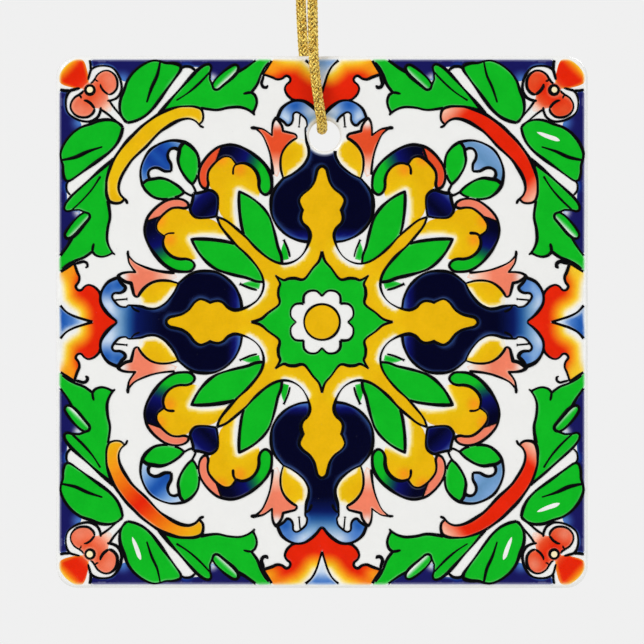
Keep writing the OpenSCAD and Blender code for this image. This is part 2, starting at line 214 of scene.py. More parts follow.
class Ink(Enum):
    """Colours as they look in even light, in display values from 0 to 255."""

    WHITE = (238, 238, 236)
    CREAM = (250, 236, 190)
    SUN = (248, 204, 44)
    YELLOW = (235, 190, 6)
    AMBER = (232, 180, 2)
    TANGERINE = (246, 152, 18)
    ORANGE = (240, 105, 8)
    RED = (228, 34, 0)
    POPPY = (230, 78, 38)
    CORAL = (240, 128, 98)
    PALE_CORAL = (248, 190, 165)
    GREEN = (8, 182, 32)
    NAVY = (1, 2, 34)
    INK_BLUE = (8, 12, 98)
    DUSK = (22, 22, 92)
    BLUE = (14, 56, 150)
    DEEP = (5, 22, 88)
    STEEL = (28, 80, 146)
    HAZE = (98, 144, 188)
    AZURE = (30, 88, 174)
    MID_BLUE = (72, 122, 196)
    SKY = (128, 168, 218)
    PALE_SKY = (198, 215, 236)
    LINE = (3, 3, 6)
    CLAY = (236, 232, 222)
    FLOOR = (242, 242, 241)
    GOLD = (210, 160, 34)
    DARK_GOLD = (104, 74, 14)
    PALE_GOLD = (252, 226, 118)

    @property
    def display(self) -> np.ndarray:
        """The display values as an array."""
        return np.array(self.value, float)

    @property
    def linear(self) -> tuple[float, ...]:
        """The colour in linear light, with an alpha of one."""
        return (*to_linear(self.display).tolist(), 1.0)


def to_linear(display: np.ndarray) -> np.ndarray:
    """Turns display values from 0 to 255 into linear light from 0 to 1."""
    share = np.clip(display / 255.0, 0.0, 1.0)
    return np.where(share <= 0.04045, share / 12.92, ((share + 0.055) / 1.055) ** 2.4)


# Node trees


class Value:
    """A number in a node tree, with the operators of ordinary arithmetic."""

    def __init__(self, sheet: "Sheet", socket: NodeSocket) -> None:
        """Wraps an output of a node on a sheet."""
        self.sheet = sheet
        self.socket = socket

    def _maths(self, operation: str, *terms: "Number") -> "Value":
        """Adds a Math node that works on the terms."""
        return self.sheet.value("ShaderNodeMath", {"operation": operation}, dict(enumerate(terms)))

    def __add__(self, other: "Number") -> "Value":
        """This number plus another."""
        return self._maths("ADD", self, other)

    __radd__ = __add__

    def __sub__(self, other: "Number") -> "Value":
        """This number less another."""
        return self._maths("SUBTRACT", self, other)

    def __rsub__(self, other: float) -> "Value":
        """A plain number less this one."""
        return self._maths("SUBTRACT", other, self)

    def __mul__(self, other: "Number") -> "Value":
        """This number times another."""
        return self._maths("MULTIPLY", self, other)

    __rmul__ = __mul__

    def __truediv__(self, other: "Number") -> "Value":
        """This number divided by another."""
        return self._maths("DIVIDE", self, other)

    def __rtruediv__(self, other: float) -> "Value":
        """A plain number divided by this one."""
        return self._maths("DIVIDE", other, self)

    def __mod__(self, other: "Number") -> "Value":
        """What is left of this number after whole steps of another."""
        return self._maths("FLOORED_MODULO", self, other)

    def __rmod__(self, other: float) -> "Value":
        """What is left of a plain number after whole steps of this one."""
        return self._maths("FLOORED_MODULO", other, self)

    def least(self, other: "Number") -> "Value":
        """The smaller of this number and another."""
        return self._maths("MINIMUM", self, other)

    def most(self, other: "Number") -> "Value":
        """The larger of this number and another."""
        return self._maths("MAXIMUM", self, other)

    def floor(self) -> "Value":
        """The whole part of this number."""
        return self._maths("FLOOR", self)

    def sine(self) -> "Value":
        """The sine of this angle in radians."""
        return self._maths("SINE", self)

    def cosine(self) -> "Value":
        """The cosine of this angle in radians."""
        return self._maths("COSINE", self)

    def eased(self, low: float, high: float) -> "Value":
        """A smooth step from 0 at the low value to 1 at the high value."""
        return self.sheet.value("ShaderNodeMapRange", {"interpolation_type": "SMOOTHSTEP"},
                                {"Value": self, 1: low, 2: high}, "Result")


Number = Union[Value, float]
Feed = Union[Value, NodeSocket, float, int, bool, str, tuple, ID]
Settings = Mapping[str, object]
Sockets = Mapping[Union[str, int], Feed]


class Sheet:
    """A node tree with one way to add a node, for materials, the world and shapes."""

    MIX_FIRST = 6
    MIX_SECOND = 7
    MIX_RESULT = 2

    def __init__(self, tree: NodeTree) -> None:
        """Takes a tree and empties it."""
        self.tree = tree
        tree.nodes.clear()

    def node(self, kind: str, settings: Optional[Settings] = None,
             sockets: Optional[Sockets] = None) -> Node:
        """Adds a node.

        Args:
            kind: the node's type name.
            settings: properties that are set first.
            sockets: values or links for its inputs, by name or number.

        Returns:
            The node.
        """
        made = self.tree.nodes.new(kind)
        for name, value in (settings or {}).items():
            setattr(made, name, value)
        for key, value in (sockets or {}).items():
            self.feed(made.inputs[key], value)
        return made

    def feed(self, socket: NodeSocket, value: Feed) -> None:
        """Links an output to an input, or sets the input to a plain value.

        Args:
            socket: the input.
            value: what it gets.
        """
        if isinstance(value, Value):
            self.tree.links.new(value.socket, socket)
        elif isinstance(value, NodeSocket):
            self.tree.links.new(value, socket)
        else:
            socket.default_value = value

    def link(self, kind: str, settings: Optional[Settings] = None, sockets: Optional[Sockets] = None,
             output: Union[str, int] = 0) -> NodeSocket:
        """Adds a node and gives one of its outputs."""
        return self.node(kind, settings, sockets).outputs[output]

    def value(self, kind: str, settings: Optional[Settings] = None, sockets: Optional[Sockets] = None,
              output: Union[str, int] = 0) -> Value:
        """Adds a node and gives one of its outputs as a number."""
        return Value(self, self.link(kind, settings, sockets, output))

    def mix(self, factor: Feed, first: Feed, second: Feed) -> NodeSocket:
        """Mixes two colours.

        Args:
            factor: the share of the second colour.
            first: a colour.
            second: another colour.

        Returns:
            The mixed colour.
        """
        settings = {"data_type": "RGBA", "blend_type": "MIX", "clamp_factor": True}
        sockets = {0: factor, self.MIX_FIRST: first, self.MIX_SECOND: second}
        return self.link("ShaderNodeMix", settings, sockets, self.MIX_RESULT)

    def scaled(self, vector: Feed, size: Feed) -> NodeSocket:
        """Multiplies a vector or colour by a number."""
        start = vector[:3] if isinstance(vector, tuple) else vector
        return self.link("ShaderNodeVectorMath", {"operation": "SCALE"}, {0: start, "Scale": size})

    def vector_maths(self, operation: str, first: Feed, second: Feed) -> NodeSocket:
        """Combines two vectors."""
        return self.link("ShaderNodeVectorMath", {"operation": operation}, {0: first, 1: second})


class Skin(Sheet):
    """A material's node tree, with patterns on the object's own coordinates."""

    NOISE_ROUGHNESS = 0.55

    def __init__(self, name: str) -> None:
        """Starts an empty material.

        Args:
            name: the material's name.
        """
        self.material = bpy.data.materials.new(name)
        self.material.use_nodes = True
        super().__init__(self.material.node_tree)
        self.place = self.link("ShaderNodeTexCoord", output="Object")

    def noise(self, scale: float, detail: float) -> Value:
        """Soft clouds, with that many features to a metre."""
        sockets = {"Vector": self.place, "Scale": scale, "Detail": detail, "Roughness": self.NOISE_ROUGHNESS}
        return self.value("ShaderNodeTexNoise", {"noise_dimensions": "3D"}, sockets, "Fac")

    def dots(self, scale: float, core: float, edge: float) -> Value:
        """Scattered dots, with that many to a metre.

        Args:
            scale: the number of dots to a metre.
            core: the share of a dot's room that is full.
            edge: the share where the dot has faded out.

        Returns:
            1 on the dots and 0 between them.
        """
        sockets = {"Vector": self.place, "Scale": scale, "Randomness": 1.0}
        away = self.value("ShaderNodeTexVoronoi", {"feature": "F1"}, sockets, "Distance")
        return 1.0 - away.eased(core, edge)

    def kept(self, label: str) -> Value:
        """The number that the mesh keeps at each of its points under a label."""
        return self.value("ShaderNodeAttribute", {"attribute_name": label}, output="Fac")

    def bumped(self, height: Value, strength: float, depth: float, sockets: Sockets) -> Material:
        """Ends the tree with a surface that has a fine relief.

        Args:
            height: the relief over the surface.
            strength: how strongly it shows.
            depth: how deep it is, in millimetres.
            sockets: the other inputs of the surface.

        Returns:
            The material.
        """
        bump = self.link("ShaderNodeBump", {}, {
            "Strength": strength, "Distance": depth * MM, "Height": height})
        surface = self.link("ShaderNodeBsdfPrincipled", {}, {**sockets, "Normal": bump})
        return self.ended(surface)

    def ended(self, surface: NodeSocket) -> Material:
        """Ends the tree with a shader, and gives the material."""
        self.node("ShaderNodeOutputMaterial", {}, {"Surface": surface})
        return self.material


class ShapeSheet(Sheet):
    """A Geometry Nodes tree with named inputs, which turns a plain path mesh into a modelled one."""

    KINDS = {float: "NodeSocketFloat", int: "NodeSocketInt", Material: "NodeSocketMaterial"}

    def __init__(self, name: str, inputs: Mapping[str, Union[float, int, Material]]) -> None:
        """Starts a tree.

        Args:
            name: the tree's name.
            inputs: its named inputs with their values. Sides and Material are among them.
        """
        group = bpy.data.node_groups.new(name, "GeometryNodeTree")
        super().__init__(group)
        self.inputs = dict(inputs)
        group.interface.new_socket("Geometry", in_out="INPUT", socket_type="NodeSocketGeometry")
        for label, value in inputs.items():
            group.interface.new_socket(label, in_out="INPUT", socket_type=self.KINDS[type(value)])
        group.interface.new_socket("Geometry", in_out="OUTPUT", socket_type="NodeSocketGeometry")
        self.entry = self.node("NodeGroupInput")

    def given(self, label: str) -> Value:
        """A named input of the tree as a number."""
        return Value(self, self.entry.outputs[label])

    def path(self) -> NodeSocket:
        """The curves along the path mesh."""
        return self.link("GeometryNodeMeshToCurve", {}, {"Mesh": self.entry.outputs["Geometry"]})

    def noted(self, geometry: Feed, label: str, value: Value) -> NodeSocket:
        """Keeps a number at each point under a label."""
        return self.link("GeometryNodeStoreNamedAttribute", {"data_type": "FLOAT", "domain": "POINT"},
                         {"Geometry": geometry, "Name": label, "Value": value})

    def recalled(self, label: str) -> Value:
        """The number that each point keeps under a label."""
        return self.value("GeometryNodeInputNamedAttribute", {"data_type": "FLOAT"}, {"Name": label})

    def moved(self, geometry: Feed, offset: Feed) -> NodeSocket:
        """Moves each point by an offset."""
        return self.link("GeometryNodeSetPosition", {}, {"Geometry": geometry, "Offset": offset})

    def tube(self, path: Feed, radius: Feed, scale: Feed = 1.0) -> NodeSocket:
        """Makes closed tubes along curves.

        Args:
            path: the curves.
            radius: the radius of all the tubes.
            scale: what the radius is multiplied by at each point.

        Returns:
            The tubes.
        """
        profile = self.link("GeometryNodeCurvePrimitiveCircle", {"mode": "RADIUS"},
                            {"Resolution": self.given("Sides"), "Radius": radius})
        return self.link("GeometryNodeCurveToMesh", {}, {
            "Curve": path, "Profile Curve": profile, "Scale": scale, "Fill Caps": True})

    def close(self, geometry: Feed) -> None:
        """Ends the tree with smooth, realized geometry in the material that it was given.

        Args:
            geometry: what the tree has made.
        """
        smooth_faces = self.link("GeometryNodeSetShadeSmooth", {}, {"Geometry": geometry})
        real = self.link("GeometryNodeRealizeInstances", {}, {"Geometry": smooth_faces})
        dressed = self.link("GeometryNodeSetMaterial", {},
                            {"Geometry": real, "Material": self.entry.outputs["Material"]})
        self.node("NodeGroupOutput", {}, {"Geometry": dressed})

    def applied(self, piece: Object) -> Object:
        """Runs the tree on a piece and leaves it a plain mesh.

        Args:
            piece: an object whose mesh is a path.

        Returns:
            The same object with the finished mesh.
        """
        modifier = piece.modifiers.new(self.tree.name, "NODES")
        modifier.node_group = self.tree
        for item in self.tree.interface.items_tree:
            if item.in_out == "INPUT" and item.name in self.inputs:
                modifier[item.identifier] = self.inputs[item.name]
        graph = bpy.context.evaluated_depsgraph_get()
        finished = bpy.data.meshes.new_from_object(
            piece.evaluated_get(graph), preserve_all_data_layers=True, depsgraph=graph)
        piece.modifiers.clear()
        path = piece.data
        piece.data = finished
        bpy.data.meshes.remove(path)
        finished.name = piece.name
        return piece


# Meshes


def new_object(name: str, data: ID) -> Object:
    """Puts an object with a mesh, a camera or a lamp into the scene.

    Args:
        name: the object's name.
        data: what it holds.

    Returns:
        The object.
    """
    made = bpy.data.objects.new(name, data)
    bpy.context.scene.collection.objects.link(made)
    return made


def mesh_object(name: str, points: Sequence[Point], edges: Edges, faces: Sequence[Sequence[int]],
                material: Optional[Material] = None) -> Object:
    """Puts a new mesh into the scene.

    Args:
        name: the name of the object and of its mesh.
        points: its points, in metres.
        edges: pairs of point numbers, for a mesh of bare edges.
        faces: the point numbers of each face.
        material: what the faces are made of. They are then smooth between sharp edges.

    Returns:
        The object.
    """
    mesh = bpy.data.meshes.new(name)
    mesh.from_pydata(points, edges, faces)
    if material is not None:
        mesh.materials.append(material)
        mesh.shade_smooth()
        mesh.set_sharp_from_angle(angle=SHARP_ANGLE)
    return new_object(name, mesh)


def line_edges(lines: Loops, closed: bool, first: int = 0) -> Edges:
    """Joins lines whose points are numbered one line after another.

    Args:
        lines: the points of each line.
        closed: whether each line comes back to its first point.
        first: the number of the first point.

    Returns:
        Pairs of point numbers.
    """
    edges: Edges = []
    for line in lines:
        count = len(line)
        edges.extend((first + i, first + (i + 1) % count) for i in range(count if closed else count - 1))
        first += count
    return edges


def path_object(name: str, runs: Loops, widths: Optional[Loops] = None) -> Object:
    """Makes an object of bare edges along some paths.

    Args:
        name: the object's name.
        runs: the points of each path, in metres.
        widths: the half width at each point, kept under the label half_width.

    Returns:
        The object.
    """
    made = mesh_object(name, np.concatenate(runs).tolist(), line_edges(runs, closed=False), [])
    if widths is not None:
        kept = made.data.attributes.new("half_width", "FLOAT", "POINT")
        kept.data.foreach_set("value", np.concatenate(widths).astype(np.float32))
    return made


# Finishes


@dataclass(frozen=True)
class GlazeFinish:
    """A fired glaze with faint clouds and pits. Its colour is the painted tint of each point, or one ink."""

    name: str
    ink: Optional[Ink] = None
    mottle: float = 0.12
    roughness: float = 0.09
    ripple: float = 0.35
    ripple_depth: float = 0.12
    clouds: float = 420.0
    grains: float = 2600.0
    swells: float = 150.0
    pits: float = 700.0

    def material(self) -> Material:
        """Builds the node tree of the glaze.

        Returns:
            The material.
        """
        skin = Skin(self.name)
        cloud = skin.noise(self.clouds, detail=3.0)
        grain = skin.noise(self.grains, detail=2.0)
        swell = skin.noise(self.swells, detail=1.0)
        pit = skin.dots(self.pits, core=0.02, edge=0.07)
        if self.ink is None:
            tint = skin.link("ShaderNodeAttribute", {"attribute_name": "tint"}, output="Color")
        else:
            tint = self.ink.linear
        shade = (cloud - 0.5) * (2.0 * self.mottle) + (grain - 0.5) * self.mottle + 1.0
        height = swell + grain * 0.12 + cloud * 0.3 - pit * 0.25
        return skin.bumped(height, strength=self.ripple, depth=self.ripple_depth, sockets={
            "Base Color": skin.scaled(tint, shade - pit * 0.12),
            "Roughness": cloud * 0.08 + self.roughness + pit * 0.2,
            "IOR": 1.5, "Specular IOR Level": 0.5})


@dataclass(frozen=True)
class ClayFinish:
    """Fired white clay with a thin clear wash: faint specks and a fine tooth."""

    name: str
    ink: Ink
    speck: Ink
    clouds: float = 120.0
    teeth: float = 3800.0
    specks: float = 420.0
    roughness: float = 0.34

    def material(self) -> Material:
        """Builds the node tree of the clay.

        Returns:
            The material.
        """
        skin = Skin(self.name)
        cloud = skin.noise(self.clouds, detail=4.0)
        tooth = skin.noise(self.teeth, detail=2.0)
        speck = skin.dots(self.specks, core=0.03, edge=0.12) * cloud.eased(0.5, 0.62)
        ground = skin.scaled(self.ink.linear, (cloud - 0.5) * 0.16 + (tooth - 0.5) * 0.05 + 1.0)
        return skin.bumped(tooth * 0.5 + cloud, strength=0.4, depth=0.06, sockets={
            "Base Color": skin.mix(speck * 0.4, ground, self.speck.linear),
            "Roughness": tooth * 0.16 + self.roughness, "IOR": 1.5})


@dataclass(frozen=True)
class LineFinish:
    """Dark ceramic line paint, drier than the glaze beside it."""

    name: str
    ink: Ink
    grains: float = 3000.0
    roughness: float = 0.32
    gloss: float = 0.05

    def material(self) -> Material:
        """Builds the node tree of the line paint.

        Returns:
            The material.
        """
        skin = Skin(self.name)
        grain = skin.noise(self.grains, detail=3.0)
        return skin.bumped(grain, strength=0.3, depth=0.03, sockets={
            "Base Color": skin.scaled(self.ink.linear, grain * 1.2 + 0.4),
            "Roughness": grain * 0.2 + self.roughness, "Specular IOR Level": self.gloss})


@dataclass(frozen=True)
class BraidFinish:
    """Metallic gold yarn, a little different from yarn to yarn, with painted glints, painted shadow specks and painted
    shade where it dips under another.
    """

    name: str
    ink: Ink
    dark: Ink
    pale: Ink
    fibres: float = 9000.0
    clouds: float = 900.0
    glints: float = 3600.0
    shadows: float = 2900.0
    roughness: float = 0.24
    metallic: float = 0.45

    def material(self) -> Material:
        """Builds the node tree of the yarn.

        Returns:
            The material.
        """
        skin = Skin(self.name)
        fibre = skin.noise(self.fibres, detail=2.0)
        cloud = skin.noise(self.clouds, detail=2.0).eased(0.35, 0.7)
        # Painted light on the yarn: pale glints are painted highlights, dark specks are painted shadow, and the yarn
        # is painted darker where it dips under another yarn.
        glint = skin.noise(self.glints, detail=1.0).eased(0.49, 0.58)
        shadow = skin.noise(self.shadows, detail=1.0).eased(0.55, 0.63)
        dip_shade = 1.0 - skin.kept("crest").eased(0.1, 0.6)
        odd = (skin.kept("yarn") * 5.0 + 2.0) % 7.0 / 7.0
        body = skin.mix(cloud * 0.5 + odd * 0.35, self.ink.linear, self.pale.linear)
        lit = skin.mix(glint * 0.95, body, self.pale.linear)
        shadow_speckled = skin.mix(shadow * 0.85, lit, self.dark.linear)
        tint = skin.mix(dip_shade * 0.8, shadow_speckled, self.dark.linear)
        return skin.bumped(fibre, strength=0.5, depth=0.02, sockets={
            "Base Color": skin.scaled(tint, fibre * 0.5 + 0.75), "Metallic": self.metallic,
            "Roughness": fibre * 0.2 + self.roughness})


# Outlines of the painting: out from the tile's centre to the middle of an edge, across towards
# the corner, in millimetres. A third value of 1 keeps a point sharp.

SCALLOP: Outline = [(3.55, 0, 1), (4.25, 0.75), (4.25, 1.75), (3.75, 2.4), (3.1, 2.55), (2.52, 2.52, 1)]
STAR: Outline = [
    (9.7, 0, 1), (8.4, 0.4), (7.4, 1.25), (6.1, 2.2), (5.8, 2.8), (6, 3.7), (5.95, 4.6), (5.75, 5.3),
    (6.4, 6.4, 1)]
ARM_TIP: Outline = [(21.4, 0)]
ARM_EDGE: Outline = [
    (21, 0.6), (20.1, 0.85), (19.2, 1.1), (18.3, 1.7), (17.5, 2.7), (16.7, 3.15), (15.8, 2.9),
    (15.35, 2.65, 1), (15, 2.8), (14.2, 2.9), (13.5, 2.6), (12.9, 2), (12, 1.65)]
WINDOW_EDGE: Outline = [
    (11, 1.8), (10, 2.2), (9, 2.9), (8.3, 3.9), (8, 5.1), (8.25, 6.4), (9, 7.7), (10.3, 9.2),
    (11.7, 10.5), (13.2, 12.2), (14, 13.3)]
STEM_END: Outline = [(14.4, 14.4, 1)]
BUD_EDGE: Outline = [(24.9, 2.15), (23.9, 1.85), (22.8, 1.85), (21.7, 2.4), (20.9, 3.2), (20.2, 4.2)]
LOBE_EDGE: Outline = [
    (19.7, 5.3, 1), (18.5, 6.3), (17.4, 6.85), (16.2, 7), (14.8, 6.9), (13.6, 6.4), (12.6, 5.6),
    (11.8, 4.6), (11.2, 3.2), (11, 1.85, 1)]
WAVE_EDGE: Outline = [
    (29.2, 5.6), (30, 4.7), (30.4, 3.6), (30.3, 2.5), (29.7, 1.5), (29, 0.75), (28.2, 0)]
CURL_EDGE: Outline = [
    (26.5, 2.3), (26.9, 2.05), (27.8, 2.2), (28.5, 2.9), (28.8, 3.5), (28.5, 3.95), (27.7, 4),
    (27.15, 4.3), (27, 4.8), (27.5, 5.3), (28, 6.1, 1)]
EGG_TOP: Outline = [
    (19.7, 5.3, 1), (21, 5.65), (22.3, 5.68), (23.35, 5.4), (24.25, 4.8), (24.9, 4.05), (25.25, 3.4)]
WING_TOP: Outline = [
    (26.65, 9.2, 1), (25.8, 8.3), (24.8, 7.75), (23.3, 7.2), (21.8, 6.9), (20.2, 6.75, 1)]
WING_TIPS: Outline = [
    (25.25, 3.4, 1), (25.75, 3.65), (26, 4.5), (26.2, 5.35, 1), (26.9, 5.5), (27.6, 5.95), (28, 6.35, 1),
    (27.4, 6.7), (26.5, 6.85), (25.6, 6.85, 1), (26.1, 7.5), (26.5, 8.2)]
TRIANGLE_TIP: Outline = [(31.5, 0, 1)]
TRIANGLE_EDGE: Outline = [(32.8, 0.4), (34, 0.8), (35.1, 1.4), (36, 2.4), (36.6, 3.3, 1)]
EDGE_MIDDLE: Outline = [(36.6, 0, 1)]
FLAME_EDGE: Outline = [
    (36.6, 6.3, 1), (36, 6.8), (34.9, 7.5), (34, 8.1, 1), (33.6, 6.9), (33.3, 6.2), (33.4, 5.5),
    (33.8, 4.9), (33.5, 4.4), (33, 4.4), (32.6, 4.85), (32, 5.1), (31.2, 4.8), (30.6, 4.2, 1)]
LEAF: Outline = [
    (8.05, 5.5, 1), (8.25, 6.4), (9, 7.7), (10.3, 9.2), (11.7, 10.5), (12.8, 10.95), (14.2, 11.2),
    (15.6, 11.35), (17, 11.4), (17.9, 11.35, 1), (17.4, 10.3), (16.7, 9.2), (15.7, 8.1), (14.6, 7.3),
    (13.3, 6.8), (11.8, 6.4), (10.3, 6.05), (9.1, 5.6)]
SLIVER: Outline = [(8.35, 5.3, 1), (8.6, 4.45, 1), (9.7, 4.7), (11.2, 5.2, 1), (10.2, 5.6), (9.3, 5.65)]
HEART: Outline = [
    (12.6, 11.2, 1), (13.2, 12.2), (14, 13.3), (14.7, 13.95, 1), (15.6, 14.25), (16.7, 14.2),
    (17.4, 14.3), (17.9, 14.8), (18.3, 15.3), (18.9, 15.6), (19.7, 15.7), (20.6, 15.6), (21.4, 15.1),
    (22.2, 14.3), (22.7, 13.4), (22.6, 12.6), (22.1, 12.1), (21.6, 11.75, 1), (21.8, 11.1), (21.7, 10.3),
    (21.2, 9.5), (20.4, 8.9), (19.5, 8.65), (18.6, 8.6), (17.7, 8.5), (16.9, 8.8), (17, 9.5),
    (17.6, 10.5), (18, 11.45, 1), (16.5, 11.75), (15, 11.75), (13.6, 11.5)]
BAND: Outline = [
    (17.6, 7.4), (18.2, 6.95), (19.2, 6.9), (20.2, 7.05), (21.2, 7.55), (22.1, 8.3), (22.75, 9.05),
    (23.5, 10.1), (24.1, 11.3), (24.35, 12.5), (24.2, 13.6), (23.9, 14.4), (23.3, 15.2), (22.5, 15.95),
    (21.5, 16.6), (20.5, 16.9), (19.6, 16.9), (18.9, 16.7), (18.4, 16.3), (18.3, 15.8, 1), (18.9, 15.6),
    (19.7, 15.7), (20.6, 15.6), (21.4, 15.1), (22.2, 14.3), (22.7, 13.4), (22.6, 12.6), (22.1, 12.1),
    (21.6, 11.75, 1), (21.8, 11.1), (21.7, 10.3), (21.2, 9.5), (20.4, 8.9), (19.5, 8.65), (18.6, 8.65),
    (17.9, 8.4), (17.5, 7.9)]
SQUARE_EDGE: Outline = [
    (14.5, 14.5, 1), (15.6, 14.3), (16.7, 14.25), (17.4, 14.4), (17.9, 14.9), (18.1, 15.5), (17.9, 16.2),
    (17.7, 17), (17.6, 17.6)]
PALM_LEAF: Outline = [
    (18.9, 17.8, 1), (19.5, 17.35), (20.4, 17.05), (21.6, 16.85), (23, 17.1), (24.1, 17.95),
    (24.7, 18.9, 1), (24, 19.45), (23, 19.65), (22.2, 19.75), (21.3, 19.55), (20.4, 19.1), (19.5, 18.45)]
PALM_BLUE: Outline = [
    (20.7, 20.7, 1), (21.6, 20.7), (22.4, 21.1), (23.1, 21.15), (23.7, 20.8), (23.85, 20.2),
    (23.6, 19.6, 1), (24.1, 19.4), (24.7, 18.95, 1), (24.9, 20), (24.85, 21.1), (24.4, 22.4),
    (23.6, 23.6)]
RIBBON: Outline = [
    (24.1, 24.1), (25.2, 23.1), (26.1, 22.2), (26.8, 21.2), (27.4, 20.2), (27.8, 19.2), (27.9, 18.2),
    (27.6, 17.4), (27.1, 16.9, 1), (27.6, 16.4), (28.4, 16.3), (29.2, 16.6), (29.55, 17.5), (29.6, 18.6),
    (29.5, 19.8), (29, 21.4), (28.4, 22.6), (27.5, 23.9), (26.7, 24.9), (25.8, 25.8)]
BIG_LEAF: Outline = [
    (28.7, 9.5, 1), (29.2, 10.3), (29.5, 11.4), (29.4, 12.9), (29.1, 14.4), (29.3, 16.2), (29.55, 17.5),
    (29.6, 18.6), (29.5, 19.8), (29, 21.4), (28.45, 22.55, 1), (29.4, 21.7), (30.6, 20.7), (32.1, 19.35),
    (33.5, 18.1), (34.5, 17.15), (35.2, 16.2), (35.35, 15.5), (34.95, 15.2), (34.3, 15.35, 1),
    (33.3, 15.4, 1), (32.5, 15.05), (32, 14.85), (31.9, 14.3), (32.6, 13.4), (33.6, 12.2),
    (34.3, 11.6, 1), (34.9, 10.5), (36, 9), (36.6, 8.4, 1), (36.6, 6.4, 1), (36, 6.9), (35, 7.8),
    (33.9, 8.4), (32.6, 8.9), (31.5, 9.7, 1), (31.1, 9.2), (30.3, 8.95), (29.5, 9.1)]
SMALL_LEAF: Outline = [
    (31.9, 14.3), (32.6, 13.4), (33.6, 12.2), (34.4, 11.55), (35.05, 11.5), (35.3, 12), (34.9, 12.8),
    (34.2, 13.7), (33.3, 14.6), (32.5, 15.05), (32, 14.85)]
TWIN_LEAF: Outline = [
    (27.35, 26.7, 1), (28.1, 27.4), (29.2, 27.75), (30.5, 27.65), (31.8, 27.15), (33.1, 26.7),
    (34.3, 25.85), (35.3, 24.6), (35.85, 23.3), (35.8, 22.3), (35.55, 21.5), (35.5, 20.4), (35.2, 19.5),
    (34.6, 19.4), (33.4, 20.2), (31.9, 21.3), (30.5, 22.3), (29.2, 23.3), (28.2, 24.4), (27.6, 25.6)]
HIGHLIGHT: Outline = [
    (29.3, 26.05), (30, 25.45), (31.1, 24.95), (32.2, 24.65), (32.8, 24.85), (32.3, 25.45), (31.2, 25.85),
    (30, 26.2)]
GROUND: Outline = [
    (36.6, 8.3, 1), (35.9, 9), (34.8, 10.6), (34.2, 11.6), (34.5, 12.3), (34.2, 13.4), (33.4, 14.5),
    (33.1, 15.2), (34, 15.4), (35, 15.9), (34.9, 16.8), (34.95, 17.6), (35.1, 18.4), (35, 19.2),
    (34.8, 20.5), (35.2, 22), (35.3, 23.4), (34.5, 25), (33.7, 25.7), (33.1, 26.4), (33, 27.3),
    (33.7, 27.9), (34.9, 28.75), (35.25, 30.3), (34.9, 31.4), (35.8, 31.75), (36.6, 31.85, 1)]
PETAL_EDGE: Outline = [
    (31.2, 29.3, 1), (31.4, 28.7), (32.1, 28.15), (33.1, 28.1), (33.9, 28.45), (34.45, 29.2), (34.45, 30),
    (34, 30.75), (33.4, 31.15), (32.9, 31.5), (32.75, 31.8, 1)]
FLOWER_ENDS: tuple[Outline, Outline] = (
    [(28.9, 28.9), (29.8, 28.85), (30.6, 29.2)], [(33, 32.1), (32.9, 32.9)])
CORNER_LOBE: Outline = [
    (32.3, 32.3), (33, 31.95), (33.8, 32), (34.7, 32.2), (35.5, 32.45), (36.05, 32.9), (36.15, 33.8),
    (35.2, 35.2)]
DISC_R = 2.45
EYE_AT = 31.85
EYE_R = 0.62


# Curves

MITRE_LIMIT = 0.25
MERGE_GAP = 1e-7
WAVES = ((5.1, 2.3, 0.7), (-3.4, 4.6, 2.1), (1.9, -6.2, 4.4), (7.3, 5.8, 1.3))


def over_axis(point: Point) -> Point:
    """The point mirrored over the axis through the middle of an edge."""
    return (point[0], -point[1], *point[2:])


def over_corner(point: Point) -> Point:
    """The point mirrored over the diagonal."""
    return (point[1], point[0], *point[2:])


def both_sides(half: Outline) -> Outline:
    """Closes a half outline over the axis."""
    return half + [over_axis(p) for p in reversed(half) if p[1] != 0]


def both_corners(half: Outline) -> Outline:
    """Closes a half outline over the diagonal."""
    return half + [over_corner(p) for p in reversed(half) if p[0] != p[1]]


def turned(points: np.ndarray, quarter: int, side: int = 0) -> np.ndarray:
    """Mirrors points over the axis and turns them round the centre.

    Args:
        points: points of the plane.
        quarter: the number of quarter turns.
        side: 1 where the points are mirrored first.

    Returns:
        The moved points.
    """
    x = points[:, 0]
    y = -points[:, 1] if side else points[:, 1]
    return np.stack([(x, y), (-y, x), (-x, -y), (y, -x)][quarter], axis=1)


def turned_back(points: np.ndarray, quarter: int, side: int) -> np.ndarray:
    """Undoes turned()."""
    return turned(points, -quarter % 4) * (1.0, -1.0 if side else 1.0)


def all_round(eighth: Outline) -> Outline:
    """Closes an eighth of an outline round the centre.

    Args:
        eighth: points from the axis to the diagonal.

    Returns:
        The closed outline.
    """
    quarter = [p for p in both_corners(eighth) if p[0] > 0]
    places = np.array([p[:2] for p in quarter])
    made: Outline = []
    for turn in range(4):
        made.extend((*place, *p[2:]) for place, p in zip(turned(places, turn).tolist(), quarter))
    return made


def circle(centre: Sequence[float], radius: float, count: int) -> Outline:
    """Points round a circle."""
    angles = (2 * math.pi * i / count for i in range(count))
    return [(centre[0] + radius * math.cos(a), centre[1] + radius * math.sin(a)) for a in angles]


def left_of(start: Point, end: Point) -> np.ndarray:
    """The unit vector to the left of a step."""
    step = np.array(end[:2], float) - np.array(start[:2], float)
    return np.array((-step[1], step[0])) / max(NEAR_ZERO, float(np.linalg.norm(step)))


def inset(points: Outline, gap: float) -> Outline:
    """Draws an outline inwards.

    Args:
        points: a closed outline.
        gap: how far, in millimetres. A negative gap draws it outwards.

    Returns:
        The moved outline with the same sharp points.
    """
    count = len(points)
    area = sum(points[i - 1][0] * points[i][1] - points[i][0] * points[i - 1][1] for i in range(count))
    turn = math.copysign(gap, area * gap) if gap else 0.0
    moved: Outline = []
    for i, here in enumerate(points):
        last, after = points[i - 1], points[(i + 1) % count]
        if len(here) > 2:
            first, second = left_of(last, here), left_of(here, after)
            shift = (first + second) / max(MITRE_LIMIT, 1.0 + float(first @ second))
        else:
            shift = left_of(last, after)
        moved.append((here[0] + turn * shift[0], here[1] + turn * shift[1], *here[2:]))
    return moved


